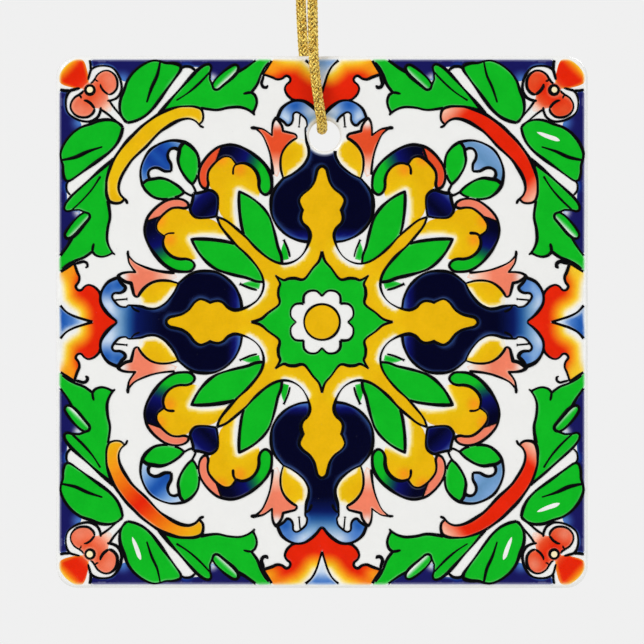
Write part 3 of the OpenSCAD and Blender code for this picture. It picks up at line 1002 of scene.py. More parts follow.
def between(share: float, start: np.ndarray, start_slope: np.ndarray, end: np.ndarray,
            end_slope: np.ndarray) -> np.ndarray:
    """Finds a point on the smooth curve from one point to another.

    Args:
        share: how far along the curve the point lies, from 0 to 1.
        start: where the curve starts.
        start_slope: its slope there.
        end: where it ends.
        end_slope: its slope there.

    Returns:
        The point.
    """
    left = 1 - share
    return ((1 + 2 * share) * left ** 2 * start + share * left ** 2 * start_slope
            + share * share * (3 - 2 * share) * end + share * share * (share - 1) * end_slope)


def smooth(points: Outline, spacing: float, closed: bool = True) -> np.ndarray:
    """Runs a smooth line through points, stopping its slope at the sharp ones.

    Args:
        points: the points, sharp where they have a third value.
        spacing: the distance between two points of the line.
        closed: whether the line comes back to its first point.

    Returns:
        The line's points.
    """
    count = len(points)
    place = [np.array(p[:2], float) for p in points]
    slopes: list[np.ndarray] = []
    for i, point in enumerate(points):
        stopped = len(point) > 2 or (not closed and i in (0, count - 1))
        slopes.append(np.zeros(2) if stopped else (place[(i + 1) % count] - place[i - 1]) / 2)
    line: list[np.ndarray] = []
    for i in range(count if closed else count - 1):
        j = (i + 1) % count
        steps = max(1, math.ceil(float(np.linalg.norm(place[j] - place[i])) / spacing))
        line.extend(between(step / steps, place[i], slopes[i], place[j], slopes[j]) for step in range(steps))
    if not closed:
        line.append(place[-1])
    return np.array(line)


def folded(points: np.ndarray) -> np.ndarray:
    """Brings points of the whole pattern back into its first eighth."""
    size = np.abs(points)
    return np.stack((size.max(axis=1), size.min(axis=1)), axis=1)


def eased(share: np.ndarray) -> np.ndarray:
    """A smooth step of values from 0 to 1."""
    s = np.clip(share, 0.0, 1.0)
    return s * s * (3 - 2 * s)


def drift(points: np.ndarray, size: float) -> np.ndarray:
    """A slow wander between -1 and 1 over the plane, with waves of about that many millimetres."""
    x, y = points[:, 0] / size, points[:, 1] / size
    return sum(np.sin(a * x + b * y + start) for a, b, start in WAVES) / len(WAVES)


def line_distance(points: np.ndarray, starts: np.ndarray, ends: np.ndarray) -> np.ndarray:
    """Measures how far points lie from the nearest of some straight segments.

    Args:
        points: the points.
        starts: where the segments start.
        ends: where they end.

    Returns:
        The distance of each point.
    """
    steps = ends - starts
    lengths = np.maximum((steps ** 2).sum(axis=1), NEAR_ZERO ** 2)
    nearest = np.empty(len(points))
    for first in range(0, len(points), BATCH):
        part = points[first:first + BATCH, None, :] - starts[None]
        share = np.clip((part * steps[None]).sum(axis=2) / lengths, 0.0, 1.0)
        away = part - share[:, :, None] * steps[None]
        nearest[first:first + BATCH] = np.sqrt((away ** 2).sum(axis=2).min(axis=1))
    return nearest


def inside(points: np.ndarray, starts: np.ndarray, ends: np.ndarray) -> np.ndarray:
    """Tells which points lie inside closed lines.

    Args:
        points: the points.
        starts: where the segments of the lines start.
        ends: where they end.

    Returns:
        Whether each point is inside.
    """
    answer = np.empty(len(points), bool)
    rise = np.where(ends[:, 1] == starts[:, 1], 1.0, ends[:, 1] - starts[:, 1])
    for first in range(0, len(points), BATCH):
        x, y = points[first:first + BATCH, 0:1], points[first:first + BATCH, 1:2]
        spans = (starts[:, 1] > y) != (ends[:, 1] > y)
        across = starts[:, 0] + (y - starts[:, 1]) * (ends[:, 0] - starts[:, 0]) / rise
        answer[first:first + BATCH] = ((spans & (x < across)).sum(axis=1) % 2).astype(bool)
    return answer


def loop_segments(loops: Loops) -> tuple[np.ndarray, np.ndarray]:
    """The starts and ends of the segments of closed lines."""
    return np.concatenate(loops), np.concatenate([np.roll(loop, -1, axis=0) for loop in loops])


def chosen_runs(chosen: np.ndarray) -> list[np.ndarray]:
    """The runs of two or more neighbouring points that are chosen, as point numbers."""
    breaks = np.flatnonzero(np.diff(chosen.astype(int))) + 1
    return [run for run in np.split(np.arange(len(chosen)), breaks) if len(run) > 1 and chosen[run[0]]]


def triangulate(points: np.ndarray, edges: Edges) -> tuple[np.ndarray, np.ndarray]:
    """Triangulates points in the plane so that the edges are kept.

    Args:
        points: the points.
        edges: pairs of point numbers.

    Returns:
        The points, with those added where edges cross, and the triangles.
    """
    found = delaunay_2d_cdt([Vector(p) for p in points.tolist()], edges, [], 0, MERGE_GAP)
    return np.array([tuple(p) for p in found[0]]), np.array([tuple(f) for f in found[2] if len(f) == 3])


# Tile


@dataclass
class Tile:
    """The clay body and the white coat on its front, lofted as smooth shells round the cord hole."""

    corner_r: float = 3.0
    front_round: float = 0.7
    back_round: float = 0.6
    hole_d: float = 4.3
    hole_drop: float = 10.9
    hole_shift: float = 0.35
    mouth_round: float = 0.6
    body_gap: float = 0.02
    corner_steps: int = 14
    round_steps: int = 8
    hole_steps: int = 64
    lap: float = 0.16
    lap_mean: float = 1.4
    lap_wave: float = 8.0
    lap_swells: tuple[tuple[float, float], ...] = ((0.4, 0.03), (0.8, 0.05), (1.0, 0.0))

    def __post_init__(self) -> None:
        """Takes the tile's planes from the boxes of its CAD nodes."""
        low, high = (np.array(corner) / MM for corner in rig.box("white_glaze"))
        back = np.array(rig.box("tile_body")[1]) / MM
        self.half = float(high[0] - low[0]) / 2
        self.front_y = float(low[1])
        self.seam_y = float(high[1])
        self.back_y = float(back[1])
        self.centre_z = float(low[2] + high[2]) / 2
        self.hole_r = self.hole_d / 2
        self.hole = np.array((self.hole_shift, self.half - self.hole_drop))

    @property
    def quarter_round(self) -> list[tuple[float, float]]:
        """Steps over an edge rounded by 1: how far each lies from the one face and from the other."""
        angles = [math.pi / 2 * i / self.round_steps for i in range(self.round_steps + 1)]
        return [(1 - math.sin(a), 1 - math.cos(a)) for a in angles]

    def square(self, gap: float) -> np.ndarray:
        """Draws the tile's outline inwards.

        Args:
            gap: how far, in millimetres.

        Returns:
            The points of a square with round corners.
        """
        reach = self.half - self.corner_r
        radius = self.corner_r - gap
        made: Outline = []
        for quarter in range(4):
            corner = math.pi / 2 * quarter + math.pi / 4
            for step in range(self.corner_steps + 1):
                angle = math.pi / 2 * (quarter + step / self.corner_steps)
                made.append((math.copysign(reach, math.cos(corner)) + radius * math.cos(angle),
                             math.copysign(reach, math.sin(corner)) + radius * math.sin(angle)))
        return np.array(made)

    def rim(self, gap: float, depth: Union[float, np.ndarray]) -> np.ndarray:
        """The tile's outline, drawn in by a gap, at a depth in the frame."""
        return self.placed(self.square(gap), depth)

    def mouth(self, gap: float, depth: float) -> np.ndarray:
        """A circle round the cord hole, wider by a gap, at a depth in the frame."""
        return self.placed(np.array(circle(self.hole, self.hole_r + gap, self.hole_steps)), depth)

    def edge_distance(self, points: np.ndarray) -> np.ndarray:
        """Measures how far points of the front lie from the tile's outline.

        Args:
            points: the points.

        Returns:
            The distance of each, less than 0 outside.
        """
        over = np.abs(points) - (self.half - self.corner_r)
        outer = np.linalg.norm(np.maximum(over, 0.0), axis=1) + np.minimum(over.max(axis=1), 0.0)
        return self.corner_r - outer

    def hole_distance(self, points: np.ndarray) -> np.ndarray:
        """How far points of the front lie from the wall of the cord hole."""
        return np.linalg.norm(points - self.hole, axis=1) - self.hole_r

    def front(self, points: np.ndarray) -> np.ndarray:
        """Finds the front surface, with its rounded edge and hole mouth.

        Args:
            points: points of the front.

        Returns:
            The depth of the surface at each point.
        """
        depth = np.full(len(points), self.front_y)
        for away, radius in ((self.edge_distance(points), self.front_round),
                             (self.hole_distance(points), self.mouth_round)):
            short = np.clip(radius - away, 0.0, radius)
            depth += radius - np.sqrt(radius ** 2 - short ** 2)
        return depth

    def placed(self, points: np.ndarray, depth: Union[float, np.ndarray]) -> np.ndarray:
        """Brings points of the front into the frame.

        Args:
            points: points of the front, in millimetres.
            depth: the depth of all of them or of each.

        Returns:
            The points in metres.
        """
        made = np.empty((len(points), 3))
        made[:, 0] = points[:, 0]
        made[:, 1] = depth
        made[:, 2] = points[:, 1] + self.centre_z
        return made * MM

    def _shell(self, name: str, outer: Loops, inner: Loops, material: Material) -> Object:
        """Closes a stack of outer loops and a stack of hole loops with caps at both ends.

        Args:
            name: the object's name.
            outer: loops in the frame, from the front to the back.
            inner: loops round the hole, from the front to the back.
            material: what the shell is made of.

        Returns:
            The object.
        """
        faces: list[tuple[int, ...]] = []
        starts: list[list[int]] = []
        size = 0
        for stack, flip in ((outer, False), (inner, True)):
            count = len(stack[0])
            starts.append([size + count * i for i in range(len(stack))])
            size += count * len(stack)
            for front, back in zip(starts[-1], starts[-1][1:]):
                for i in range(count):
                    j = (i + 1) % count
                    quad = (front + i, back + i, back + j, front + j)
                    faces.append(quad[::-1] if flip else quad)
        for end in (0, -1):
            flat = [stack[end][:, (0, 2)] / MM for stack in (outer, inner)]
            numbers = [start[end] + i for start, loop in zip(starts, flat) for i in range(len(loop))]
            plane, triangles = triangulate(np.concatenate(flat), line_edges(flat, closed=True))
            kept = inside(plane[triangles].mean(axis=1), *loop_segments(flat))
            for triangle in triangles[kept]:
                face = tuple(numbers[i] for i in triangle)
                faces.append(face if end == 0 else face[::-1])
        return mesh_object(name, np.concatenate([*outer, *inner]).tolist(), [], faces, material)

    def build_coat(self, material: Material) -> Object:
        """Makes the white coat, which laps unevenly over the seam at the tile's side.

        Args:
            material: the white glaze.

        Returns:
            The coat.
        """
        outer = [self.rim(self.front_round * aside, self.front_y + self.front_round * back)
                 for aside, back in self.quarter_round]
        lapped = self.seam_y + self.lap * (self.lap_mean + drift(self.square(0.0), self.lap_wave))
        reach = lapped - self.front_y - self.front_round
        for share, swell in self.lap_swells:
            outer.append(self.rim(-swell, self.front_y + self.front_round + share * reach))
        inner = [self.mouth(self.mouth_round * aside, self.front_y + self.mouth_round * back)
                 for aside, back in self.quarter_round]
        inner.append(self.mouth(0.0, self.seam_y))
        return self._shell("white_glaze_coat", outer, inner, material)

    def build_body(self, material: Material) -> Object:
        """Makes the clay body.

        Args:
            material: the clay.

        Returns:
            The body.
        """
        outer = [self.rim(self.body_gap, self.seam_y)]
        inner = [self.mouth(0.0, self.seam_y)]
        for ahead, aside in self.quarter_round:
            gap = self.body_gap + self.back_round * aside
            outer.append(self.rim(gap, self.back_y - self.back_round * ahead))
            inner.append(self.mouth(self.mouth_round * aside, self.back_y - self.mouth_round * ahead))
        return self._shell("tile_body_clay", outer, inner, material)

    def build(self) -> Pieces:
        """Makes both shells in place of the CAD nodes.

        Returns:
            The body and the coat.
        """
        clay = ClayFinish("fired_clay", Ink.CLAY, Ink.DARK_GOLD).material()
        coat = GlazeFinish("white_coat", Ink.WHITE, mottle=0.02, roughness=0.06, ripple=0.25).material()
        made = [self.build_body(clay), self.build_coat(coat)]
        for piece, node in zip(made, ("tile_body", "white_glaze")):
            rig.ride(piece, "tile")
            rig.replaces(piece, node)
            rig.slot(piece, "clay" if node == "tile_body" else node)
        return made


# Painting

TONE_SWAY = 0.18
TONE_WAVE = 9.0
RIM_MEAN = 0.75
RIM_SWAY = 0.9
RIM_WAVE = 6.0
RIM_LIMITS = (0.05, 2.0)
DISC_POINTS = 20
EYE_POINTS = 16
OUTWARDS = ((0, 0), (1, 0))
DIAGONAL = ((0, 0), (1, 1))
RIBBON_WAY = ((25, 25), (26, 24))


class Glaze(Enum):
    """The coloured glazes, by the CAD node and material slot that each belongs to."""

    GREEN = "green_glaze"
    YELLOW = "yellow_glaze"
    NAVY = "navy_glaze"
    SKY = "sky_glaze"
    FLAME = "flame_glaze"
    CORAL = "coral_glaze"


class Copies(Enum):
    """How often a pool is repeated round the pattern: quarters and mirrored sides."""

    ONE = ((0,), (0,))
    FOUR = ((0, 1, 2, 3), (0,))
    RIGHT = ((0, 3), (0, 1))
    EIGHT = ((0, 1, 2, 3), (0, 1))

    def __iter__(self) -> Iterator[tuple[int, int]]:
        """Gives the quarter and the side of each copy."""
        quarters, sides = self.value
        return iter([(quarter, side) for quarter in quarters for side in sides])


class FadeKind(Enum):
    """What a pool's colour changes with."""

    PLAIN = "nothing"
    ALONG = "the way along a direction"
    FROM_LINE = "the distance from a line"


def tinted(colours: np.ndarray, ink: Ink, share: np.ndarray) -> np.ndarray:
    """Mixes an ink into display colours, by a share for each row."""
    return colours * (1 - share[:, None]) + ink.display * share[:, None]


@dataclass(frozen=True)
class Spot:
    """A soft patch of another colour."""

    centre: Point
    radius: float
    ink: Ink


@dataclass(frozen=True)
class Fade:
    """The colours of a pool: stops in millimetres, a rim at its edge and soft spots."""

    stops: tuple[tuple[float, Ink], ...]
    kind: FadeKind = FadeKind.PLAIN
    line: tuple[Point, ...] = ()
    rim: Optional[Ink] = None
    rim_width: float = 0.35
    rim_share: float = 0.8
    spots: tuple[Spot, ...] = ()

    def _measure(self, places: np.ndarray) -> np.ndarray:
        """Measures what the stops go by.

        Args:
            places: points of the first eighth.

        Returns:
            Millimetres for each point.
        """
        line = np.array(self.line, float)
        if self.kind is FadeKind.ALONG:
            step = line[1] - line[0]
            return (places - line[0]) @ (step / np.linalg.norm(step))
        if self.kind is FadeKind.FROM_LINE:
            return line_distance(places, line[:-1], line[1:])
        return np.zeros(len(places))

    def tint(self, points: np.ndarray, depth: np.ndarray) -> np.ndarray:
        """Gives the colour of points of a pool.

        Args:
            points: the points, where they are on the tile.
            depth: how far each lies from the pool's edge.

        Returns:
            Display colours, one row a point.
        """
        places = folded(points)
        measure = self._measure(places) + TONE_SWAY * drift(points, TONE_WAVE)
        stops = [stop for stop, _ in self.stops]
        inks = np.array([ink.display for _, ink in self.stops])
        made = np.stack([np.interp(measure, stops, channel) for channel in inks.T], axis=1)
        for spot in self.spots:
            away = np.linalg.norm(places - np.array(spot.centre), axis=1)
            made = tinted(made, spot.ink, eased(1.0 - away / spot.radius))
        if self.rim is not None:
            width = self.rim_width * np.clip(RIM_MEAN + RIM_SWAY * drift(points, RIM_WAVE), *RIM_LIMITS)
            made = tinted(made, self.rim, self.rim_share * eased(1.0 - depth / width))
        return made


@dataclass(frozen=True)
class Pool:
    """One kind of glaze pool: its outline, its copies, its colours and the glazes it is made of.

    Where a pool has more than one glaze, each cut starts the next one on its left side.
    """

    outline: Outline
    copies: Copies
    glazes: tuple[Glaze, ...]
    fades: tuple[Fade, ...]
    within: Optional[Outline] = None
    cuts: tuple[tuple[Point, Point], ...] = ()
    lined: bool = True
    gap: float = 0.06
    lift: float = 1.0

    def share(self, places: np.ndarray) -> np.ndarray:
        """Finds the glaze that places belong to.

        Args:
            places: points of the first copy.

        Returns:
            The number of the glaze at each place.
        """
        number = np.zeros(len(places), int)
        for start, end in self.cuts:
            step = np.array(end) - np.array(start)
            away = places - np.array(start)
            number += (step[0] * away[:, 1] - step[1] * away[:, 0] > 0).astype(int)
        return number


@dataclass(frozen=True)
class Stroke:
    """A line drawn by itself, beside the outlines of the pools."""

    points: Outline
    half_width: float
    tapered: bool = True


@dataclass
class Patch:
    """A triangulated pool and how far each of its points lies from its edge."""

    points: np.ndarray
    triangles: np.ndarray
    depth: np.ndarray

    def part(self, chosen: np.ndarray) -> "Patch":
        """Takes some of the triangles.

        Args:
            chosen: which of them.

        Returns:
            A patch of those alone.
        """
        kept = self.triangles[chosen]
        used, numbers = np.unique(kept, return_inverse=True)
        return Patch(self.points[used], numbers.reshape(kept.shape), self.depth[used])

    def border(self) -> np.ndarray:
        """Finds the edges that only one triangle has.

        Returns:
            Pairs of point numbers, in that triangle's direction.
        """
        edges = np.concatenate([self.triangles[:, pair] for pair in ((0, 1), (1, 2), (2, 0))])
        known = {(int(a), int(b)) for a, b in edges}
        return np.array([(a, b) for a, b in sorted(known) if (b, a) not in known])


@dataclass
class Pile:
    """The points, triangles and colours of a piece that is built from many patches."""

    points: list[np.ndarray] = field(default_factory=list)
    triangles: list[np.ndarray] = field(default_factory=list)
    tints: list[np.ndarray] = field(default_factory=list)
    size: int = 0

    def add(self, points: np.ndarray, triangles: np.ndarray, tints: np.ndarray) -> None:
        """Adds a closed part.

        Args:
            points: its points in the frame.
            triangles: their numbers in each triangle.
            tints: their display colours.
        """
        self.points.append(points)
        self.triangles.append(triangles + self.size)
        self.tints.append(tints)
        self.size += len(points)

    def build(self, name: str, material: Material) -> Object:
        """Makes the object, with its colours in the attribute tint.

        Args:
            name: the object's name.
            material: what it is made of.

        Returns:
            The object.
        """
        made = mesh_object(name, np.concatenate(self.points).tolist(), [],
                           np.concatenate(self.triangles).tolist(), material)
        colours = np.ones((self.size, 4), np.float32)
        colours[:, :3] = to_linear(np.concatenate(self.tints))
        tint = made.data.attributes.new("tint", "FLOAT_COLOR", "POINT")
        tint.data.foreach_set("color", colours.ravel())
        return made


LEAF_GREEN = Fade(((0, Ink.GREEN),), rim=Ink.WHITE, rim_width=0.3, rim_share=0.4)


@dataclass
class Painting:
    """The glaze pools and the dark line work on the front of the tile, in millimetres."""

    tile: Tile
    spacing: float = 0.2
    clip_spacing: float = 0.3
    grid: float = 0.34
    row_share: float = 0.87
    rings: tuple[float, ...] = (0.1, 0.28, 0.52)
    ring_share: float = 0.88
    grid_share: float = 0.4
    cut_points: int = 24
    pool_height: float = 0.05
    pool_round: float = 0.5
    pool_sway: float = 0.2
    pool_wave: float = 7.0
    sunk: float = 0.06
    print_edge: float = 0.28
    print_fade: float = 0.5
    line_half: float = 0.226
    line_height: float = 0.4
    line_lift: float = 0.03
    line_sway: float = 0.4
    line_wave: float = 5.0
    copy_sway: float = 0.35
    copy_wave: float = 9.0
    fine_reach: float = 8.0
    fine_share: float = 0.82
    taper_start: float = 0.45
    taper_step: float = 0.3
    line_spacing: float = 0.22
    line_reach: float = 0.24
    line_edge: float = 0.5
    line_mouth: float = 0.35
    line_sides: int = 6
    wedge_slack: float = 0.01

    @staticmethod
    def _middle_pools() -> tuple[Pool, ...]:
        """Lists the pools from the centre out to the hearts, the bands and the wings.

        Returns:
            The kinds of pool.
        """
        along, from_line = FadeKind.ALONG, FadeKind.FROM_LINE
        frame_yellow = Fade(((0.3, Ink.WHITE), (0.5, Ink.CREAM), (0.75, Ink.YELLOW), (2.4, Ink.AMBER)),
                            from_line, tuple(p[:2] for p in WINDOW_EDGE[1:5]))
        lobes = tuple(
            Fade(((11, Ink.MID_BLUE), (11.9, Ink.INK_BLUE), (13, Ink.NAVY), (dark, Ink.NAVY),
                  (pale - 2, Ink.DEEP), (pale - 1, Ink.STEEL), (pale, Ink.HAZE), (pale + 1.6, Ink.PALE_SKY)),
                 along, OUTWARDS, rim=Ink.MID_BLUE, rim_width=0.6, rim_share=0.6,
                 spots=(Spot(shoulder, 2.6, tone), Spot((27.9, 5.1), 1.4, end)))
            for dark, pale, shoulder, tone, end in (
                (24, 28.2, (29.5, 4.6), Ink.SKY, Ink.MID_BLUE),
                (22, 27.3, (29.8, 3.7), Ink.AZURE, Ink.PALE_SKY),
                (22, 27.3, (29.5, 4.8), Ink.AZURE, Ink.AZURE),
                (24, 28, (29.2, 4.8), Ink.MID_BLUE, Ink.AZURE)))
        egg = Fade(((0.2, Ink.WHITE), (0.55, Ink.CREAM), (0.8, Ink.YELLOW), (2.2, Ink.AMBER)),
                   from_line, ((25.2, 3.1), *(p[:2] for p in BUD_EDGE)), rim=Ink.CREAM, rim_width=0.3)
        heart = Fade(((0.1, Ink.WHITE), (0.45, Ink.CREAM), (0.8, Ink.YELLOW), (2.6, Ink.AMBER)), from_line,
                     ((12.6, 11.2), (13.6, 11.5), (15, 11.75), (16.5, 11.75), (18, 11.45), (17, 9.4),
                      (16.8, 8.6)),
                     spots=(Spot((20.9, 11.3), 1.5, Ink.TANGERINE), Spot((22.4, 13.9), 1.7, Ink.TANGERINE)))
        petals = (Ink.CORAL, Ink.POPPY, Ink.CORAL, Ink.CORAL)
        bands = tuple(
            Fade(((-1, Ink.GREEN), (1.3, Ink.GREEN), (3.7, Ink.INK_BLUE), (6, Ink.NAVY), (7.26, Ink.NAVY),
                  (7.38, petal), (9.2, petal)), along, ((18.5, 8), (21.5, 16.5)),
                 rim=Ink.WHITE, rim_width=0.2, rim_share=0.4)
            for petal in petals)
        wings = tuple(
            Fade(((0, Ink.WHITE), (1.4, Ink.PALE_CORAL), (3.2, petal)), along, ((20.2, 6.6), (25, 6.6)),
                 rim=Ink.PALE_CORAL, rim_width=0.3, spots=(Spot((27.5, 6.2), 1.6, Ink.WHITE),))
            for petal in petals)
        neck = list(reversed(WAVE_EDGE)) + list(reversed(CURL_EDGE))
        blue_lobes = both_sides(neck + BUD_EDGE + LOBE_EDGE + list(reversed(ARM_EDGE)) + ARM_TIP)
        one, four, eight = Copies.ONE, Copies.FOUR, Copies.EIGHT
        return (
            Pool(circle((0, 0), DISC_R, DISC_POINTS), one, (Glaze.YELLOW,), (Fade(((0, Ink.AMBER),)),)),
            Pool(all_round(STAR), one, (Glaze.GREEN,), (LEAF_GREEN,), within=all_round(SCALLOP)),
            Pool(all_round(ARM_TIP + ARM_EDGE + WINDOW_EDGE + STEM_END), one, (Glaze.YELLOW,),
                 (frame_yellow,), within=all_round(STAR)),
            Pool(blue_lobes, four, (Glaze.NAVY, Glaze.SKY), lobes, cuts=(((25.6, 3.2), (25.6, -3.2)),)),
            Pool(EGG_TOP + [(25.1, 2.6)] + BUD_EDGE, eight, (Glaze.YELLOW,), (egg,), lined=False),
            Pool(LEAF, eight, (Glaze.GREEN,), (LEAF_GREEN,)),
            Pool(SLIVER, eight, (Glaze.GREEN,), (LEAF_GREEN,), lined=False),
            Pool(HEART, eight, (Glaze.YELLOW,), (heart,), lined=False),
            Pool(BAND, eight, (Glaze.GREEN, Glaze.NAVY, Glaze.CORAL), bands,
                 cuts=(((21.3, 10.43), (23.2, 8.62)), ((21.9, 14.55), (24.5, 13.62)))),
            Pool(WING_TOP + [(19.8, 6.1, 1)] + EGG_TOP[1:-1] + WING_TIPS, eight, (Glaze.CORAL,), wings,
                 lined=False),
        )

    @staticmethod
    def _ribbon_pools() -> tuple[Pool, ...]:
        """Lists the pools along the diagonals and those at the middle of the edges.

        Returns:
            The kinds of pool.
        """
        along = FadeKind.ALONG
        square = Fade(((0, Ink.INK_BLUE), (1.5, Ink.NAVY), (3.4, Ink.INK_BLUE), (4.6, Ink.SKY)), along,
                      ((14.5, 14.5), (18, 18)), rim=Ink.MID_BLUE, rim_width=0.3, rim_share=0.5)
        deep_palms = tuple(
            Fade(((-3.6, Ink.PALE_SKY), (-2.2, Ink.SKY), (-0.4, Ink.AZURE), (1, Ink.BLUE), (2.4, Ink.AZURE),
                  (3.8, Ink.SKY)), along, ((22.5, 22.5), end), rim=Ink.PALE_SKY, rim_width=0.25)
            for end in ((23.5, 21.5), (21.5, 23.5)))
        soft_palm = Fade(((28.4, Ink.PALE_SKY), (30, Ink.SKY), (31.4, Ink.HAZE), (33.6, Ink.SKY)),
                         along, DIAGONAL, rim=Ink.PALE_SKY, rim_width=0.25)
        red_ribbon = Fade(((0, Ink.RED), (6.2, Ink.RED), (7.4, Ink.CORAL), (8.6, Ink.PALE_CORAL)),
                          along, RIBBON_WAY, rim=Ink.CORAL, rim_width=0.3)
        amber_ribbon = Fade(((0, Ink.AMBER), (5, Ink.YELLOW), (8.5, Ink.AMBER)),
                            along, RIBBON_WAY, rim=Ink.CREAM, rim_width=0.35)
        mixed_ribbon = Fade(((0, Ink.RED), (3.2, Ink.ORANGE), (6, Ink.TANGERINE), (9, Ink.AMBER)),
                            along, RIBBON_WAY, rim=Ink.CREAM, rim_width=0.3)
        triangles = tuple(
            Fade(((31.5, Ink.WHITE), (32.8, Ink.PALE_SKY), (34.2, middle), (35.4, edge)), along, OUTWARDS,
                 rim=Ink.WHITE, rim_width=0.6)
            for middle, edge in ((Ink.MID_BLUE, Ink.AZURE), (Ink.PALE_SKY, Ink.SKY),
                                 (Ink.MID_BLUE, Ink.AZURE), (Ink.PALE_SKY, Ink.MID_BLUE)))
        flames = tuple(
            Fade(((white, Ink.WHITE), (white + 0.4, Ink.CREAM), (white + 0.9, Ink.SUN),
                  (white + 1.5, Ink.TANGERINE), (white + 2, Ink.ORANGE), (white + 2.7, Ink.RED)),
                 FadeKind.FROM_LINE, ((first, 0.9), (35, 1.4), (36.2, 2.6), last),
                 spots=(Spot((34.8, 7.2), 2.5, end),))
            for white, first, last, end in (
                (0.5, 34.2, (36.6, 6.5), Ink.SUN), (-0.1, 34.6, (36.6, 6.5), Ink.TANGERINE),
                (0.5, 34.2, (36.6, 6.5), Ink.TANGERINE), (0, 34.3, (37.7, 6), Ink.TANGERINE)))
        wedge = TRIANGLE_TIP + TRIANGLE_EDGE
        four = Copies.FOUR
        return (
            Pool(both_corners(SQUARE_EDGE), four, (Glaze.NAVY,), (square,)),
            Pool(PALM_LEAF, Copies.EIGHT, (Glaze.GREEN,), (LEAF_GREEN,)),
            Pool(both_corners(PALM_BLUE), four, (Glaze.SKY,), (soft_palm, *deep_palms, soft_palm)),
            Pool(both_corners(RIBBON), four, (Glaze.FLAME,),
                 (red_ribbon, amber_ribbon, mixed_ribbon, red_ribbon)),
            Pool(both_sides(wedge + EDGE_MIDDLE), four, (Glaze.SKY,), triangles),
            Pool(both_sides(wedge + FLAME_EDGE + WAVE_EDGE[2:]), four, (Glaze.FLAME,), flames),
        )

    @staticmethod
    def _corner_pools() -> tuple[Pool, ...]:
        """Lists the pools of the corners: leaves, the dark ground at the edge and the flowers.

        Returns:
            The kinds of pool.
        """
        along = FadeKind.ALONG
        half_green = Fade(((0.55, Ink.WHITE), (1.1, Ink.GREEN)), along, ((32.6, 12.8), (33.6, 13.8)))
        ground = Fade(((0, Ink.DUSK),), rim=Ink.MID_BLUE, rim_width=0.25, spots=(
            Spot((33.3, 15.1), 1.3, Ink.WHITE), Spot((33.1, 27.4), 1.9, Ink.MID_BLUE),
            Spot((34.9, 18.6), 1.3, Ink.BLUE)))
        flowers = tuple(
            Fade(((41.1, Ink.WHITE), (41.8, Ink.PALE_CORAL), (42.7, petal), (44.3, heart), (46.2, petal)),
                 along, DIAGONAL, rim=Ink.PALE_CORAL, rim_width=0.5, rim_share=0.5,
                 spots=(Spot((33.3, 29.1), 2.1, tip),))
            for petal, heart, tip in (
                (Ink.POPPY, Ink.RED, Ink.POPPY), (Ink.CORAL, Ink.POPPY, Ink.CORAL),
                (Ink.CORAL, Ink.POPPY, Ink.CORAL), (Ink.POPPY, Ink.RED, Ink.CORAL)))
        lobe = Fade(((-0.4, Ink.POPPY), (0.6, Ink.RED), (2.2, Ink.RED), (2.8, Ink.ORANGE),
                     (3.2, Ink.TANGERINE), (3.6, Ink.SUN), (4, Ink.CREAM)), along, ((32.7, 32.7), (35, 35)),
                    rim=Ink.SUN, rim_width=0.5, rim_share=0.6)
        eye = circle((EYE_AT, EYE_AT), EYE_R, EYE_POINTS)
        four, eight = Copies.FOUR, Copies.EIGHT
        return (
            Pool(BIG_LEAF, eight, (Glaze.GREEN,), (LEAF_GREEN,)),
            Pool(SMALL_LEAF, eight, (Glaze.GREEN,), (half_green,)),
            Pool(TWIN_LEAF, eight, (Glaze.GREEN,), (LEAF_GREEN,)),
            Pool(HIGHLIGHT, Copies.RIGHT, (Glaze.GREEN,), (Fade(((0, Ink.WHITE),)),), lined=False, lift=1.7),
            Pool(GROUND, eight, (Glaze.NAVY,), (ground,), lined=False, lift=0.3),
            Pool(both_corners(FLOWER_ENDS[0] + PETAL_EDGE + FLOWER_ENDS[1]), four, (Glaze.CORAL,), flowers,
                 within=eye, lined=False),
            Pool(both_corners(CORNER_LOBE), four, (Glaze.FLAME,), (lobe,), lined=False),
            Pool(eye, four, (Glaze.CORAL,), (Fade(((0, Ink.CREAM),)),)),
        )

    def pools(self) -> tuple[Pool, ...]:
        """All the kinds of pool of the pattern, from the centre outwards."""
        return (*self._middle_pools(), *self._ribbon_pools(), *self._corner_pools())

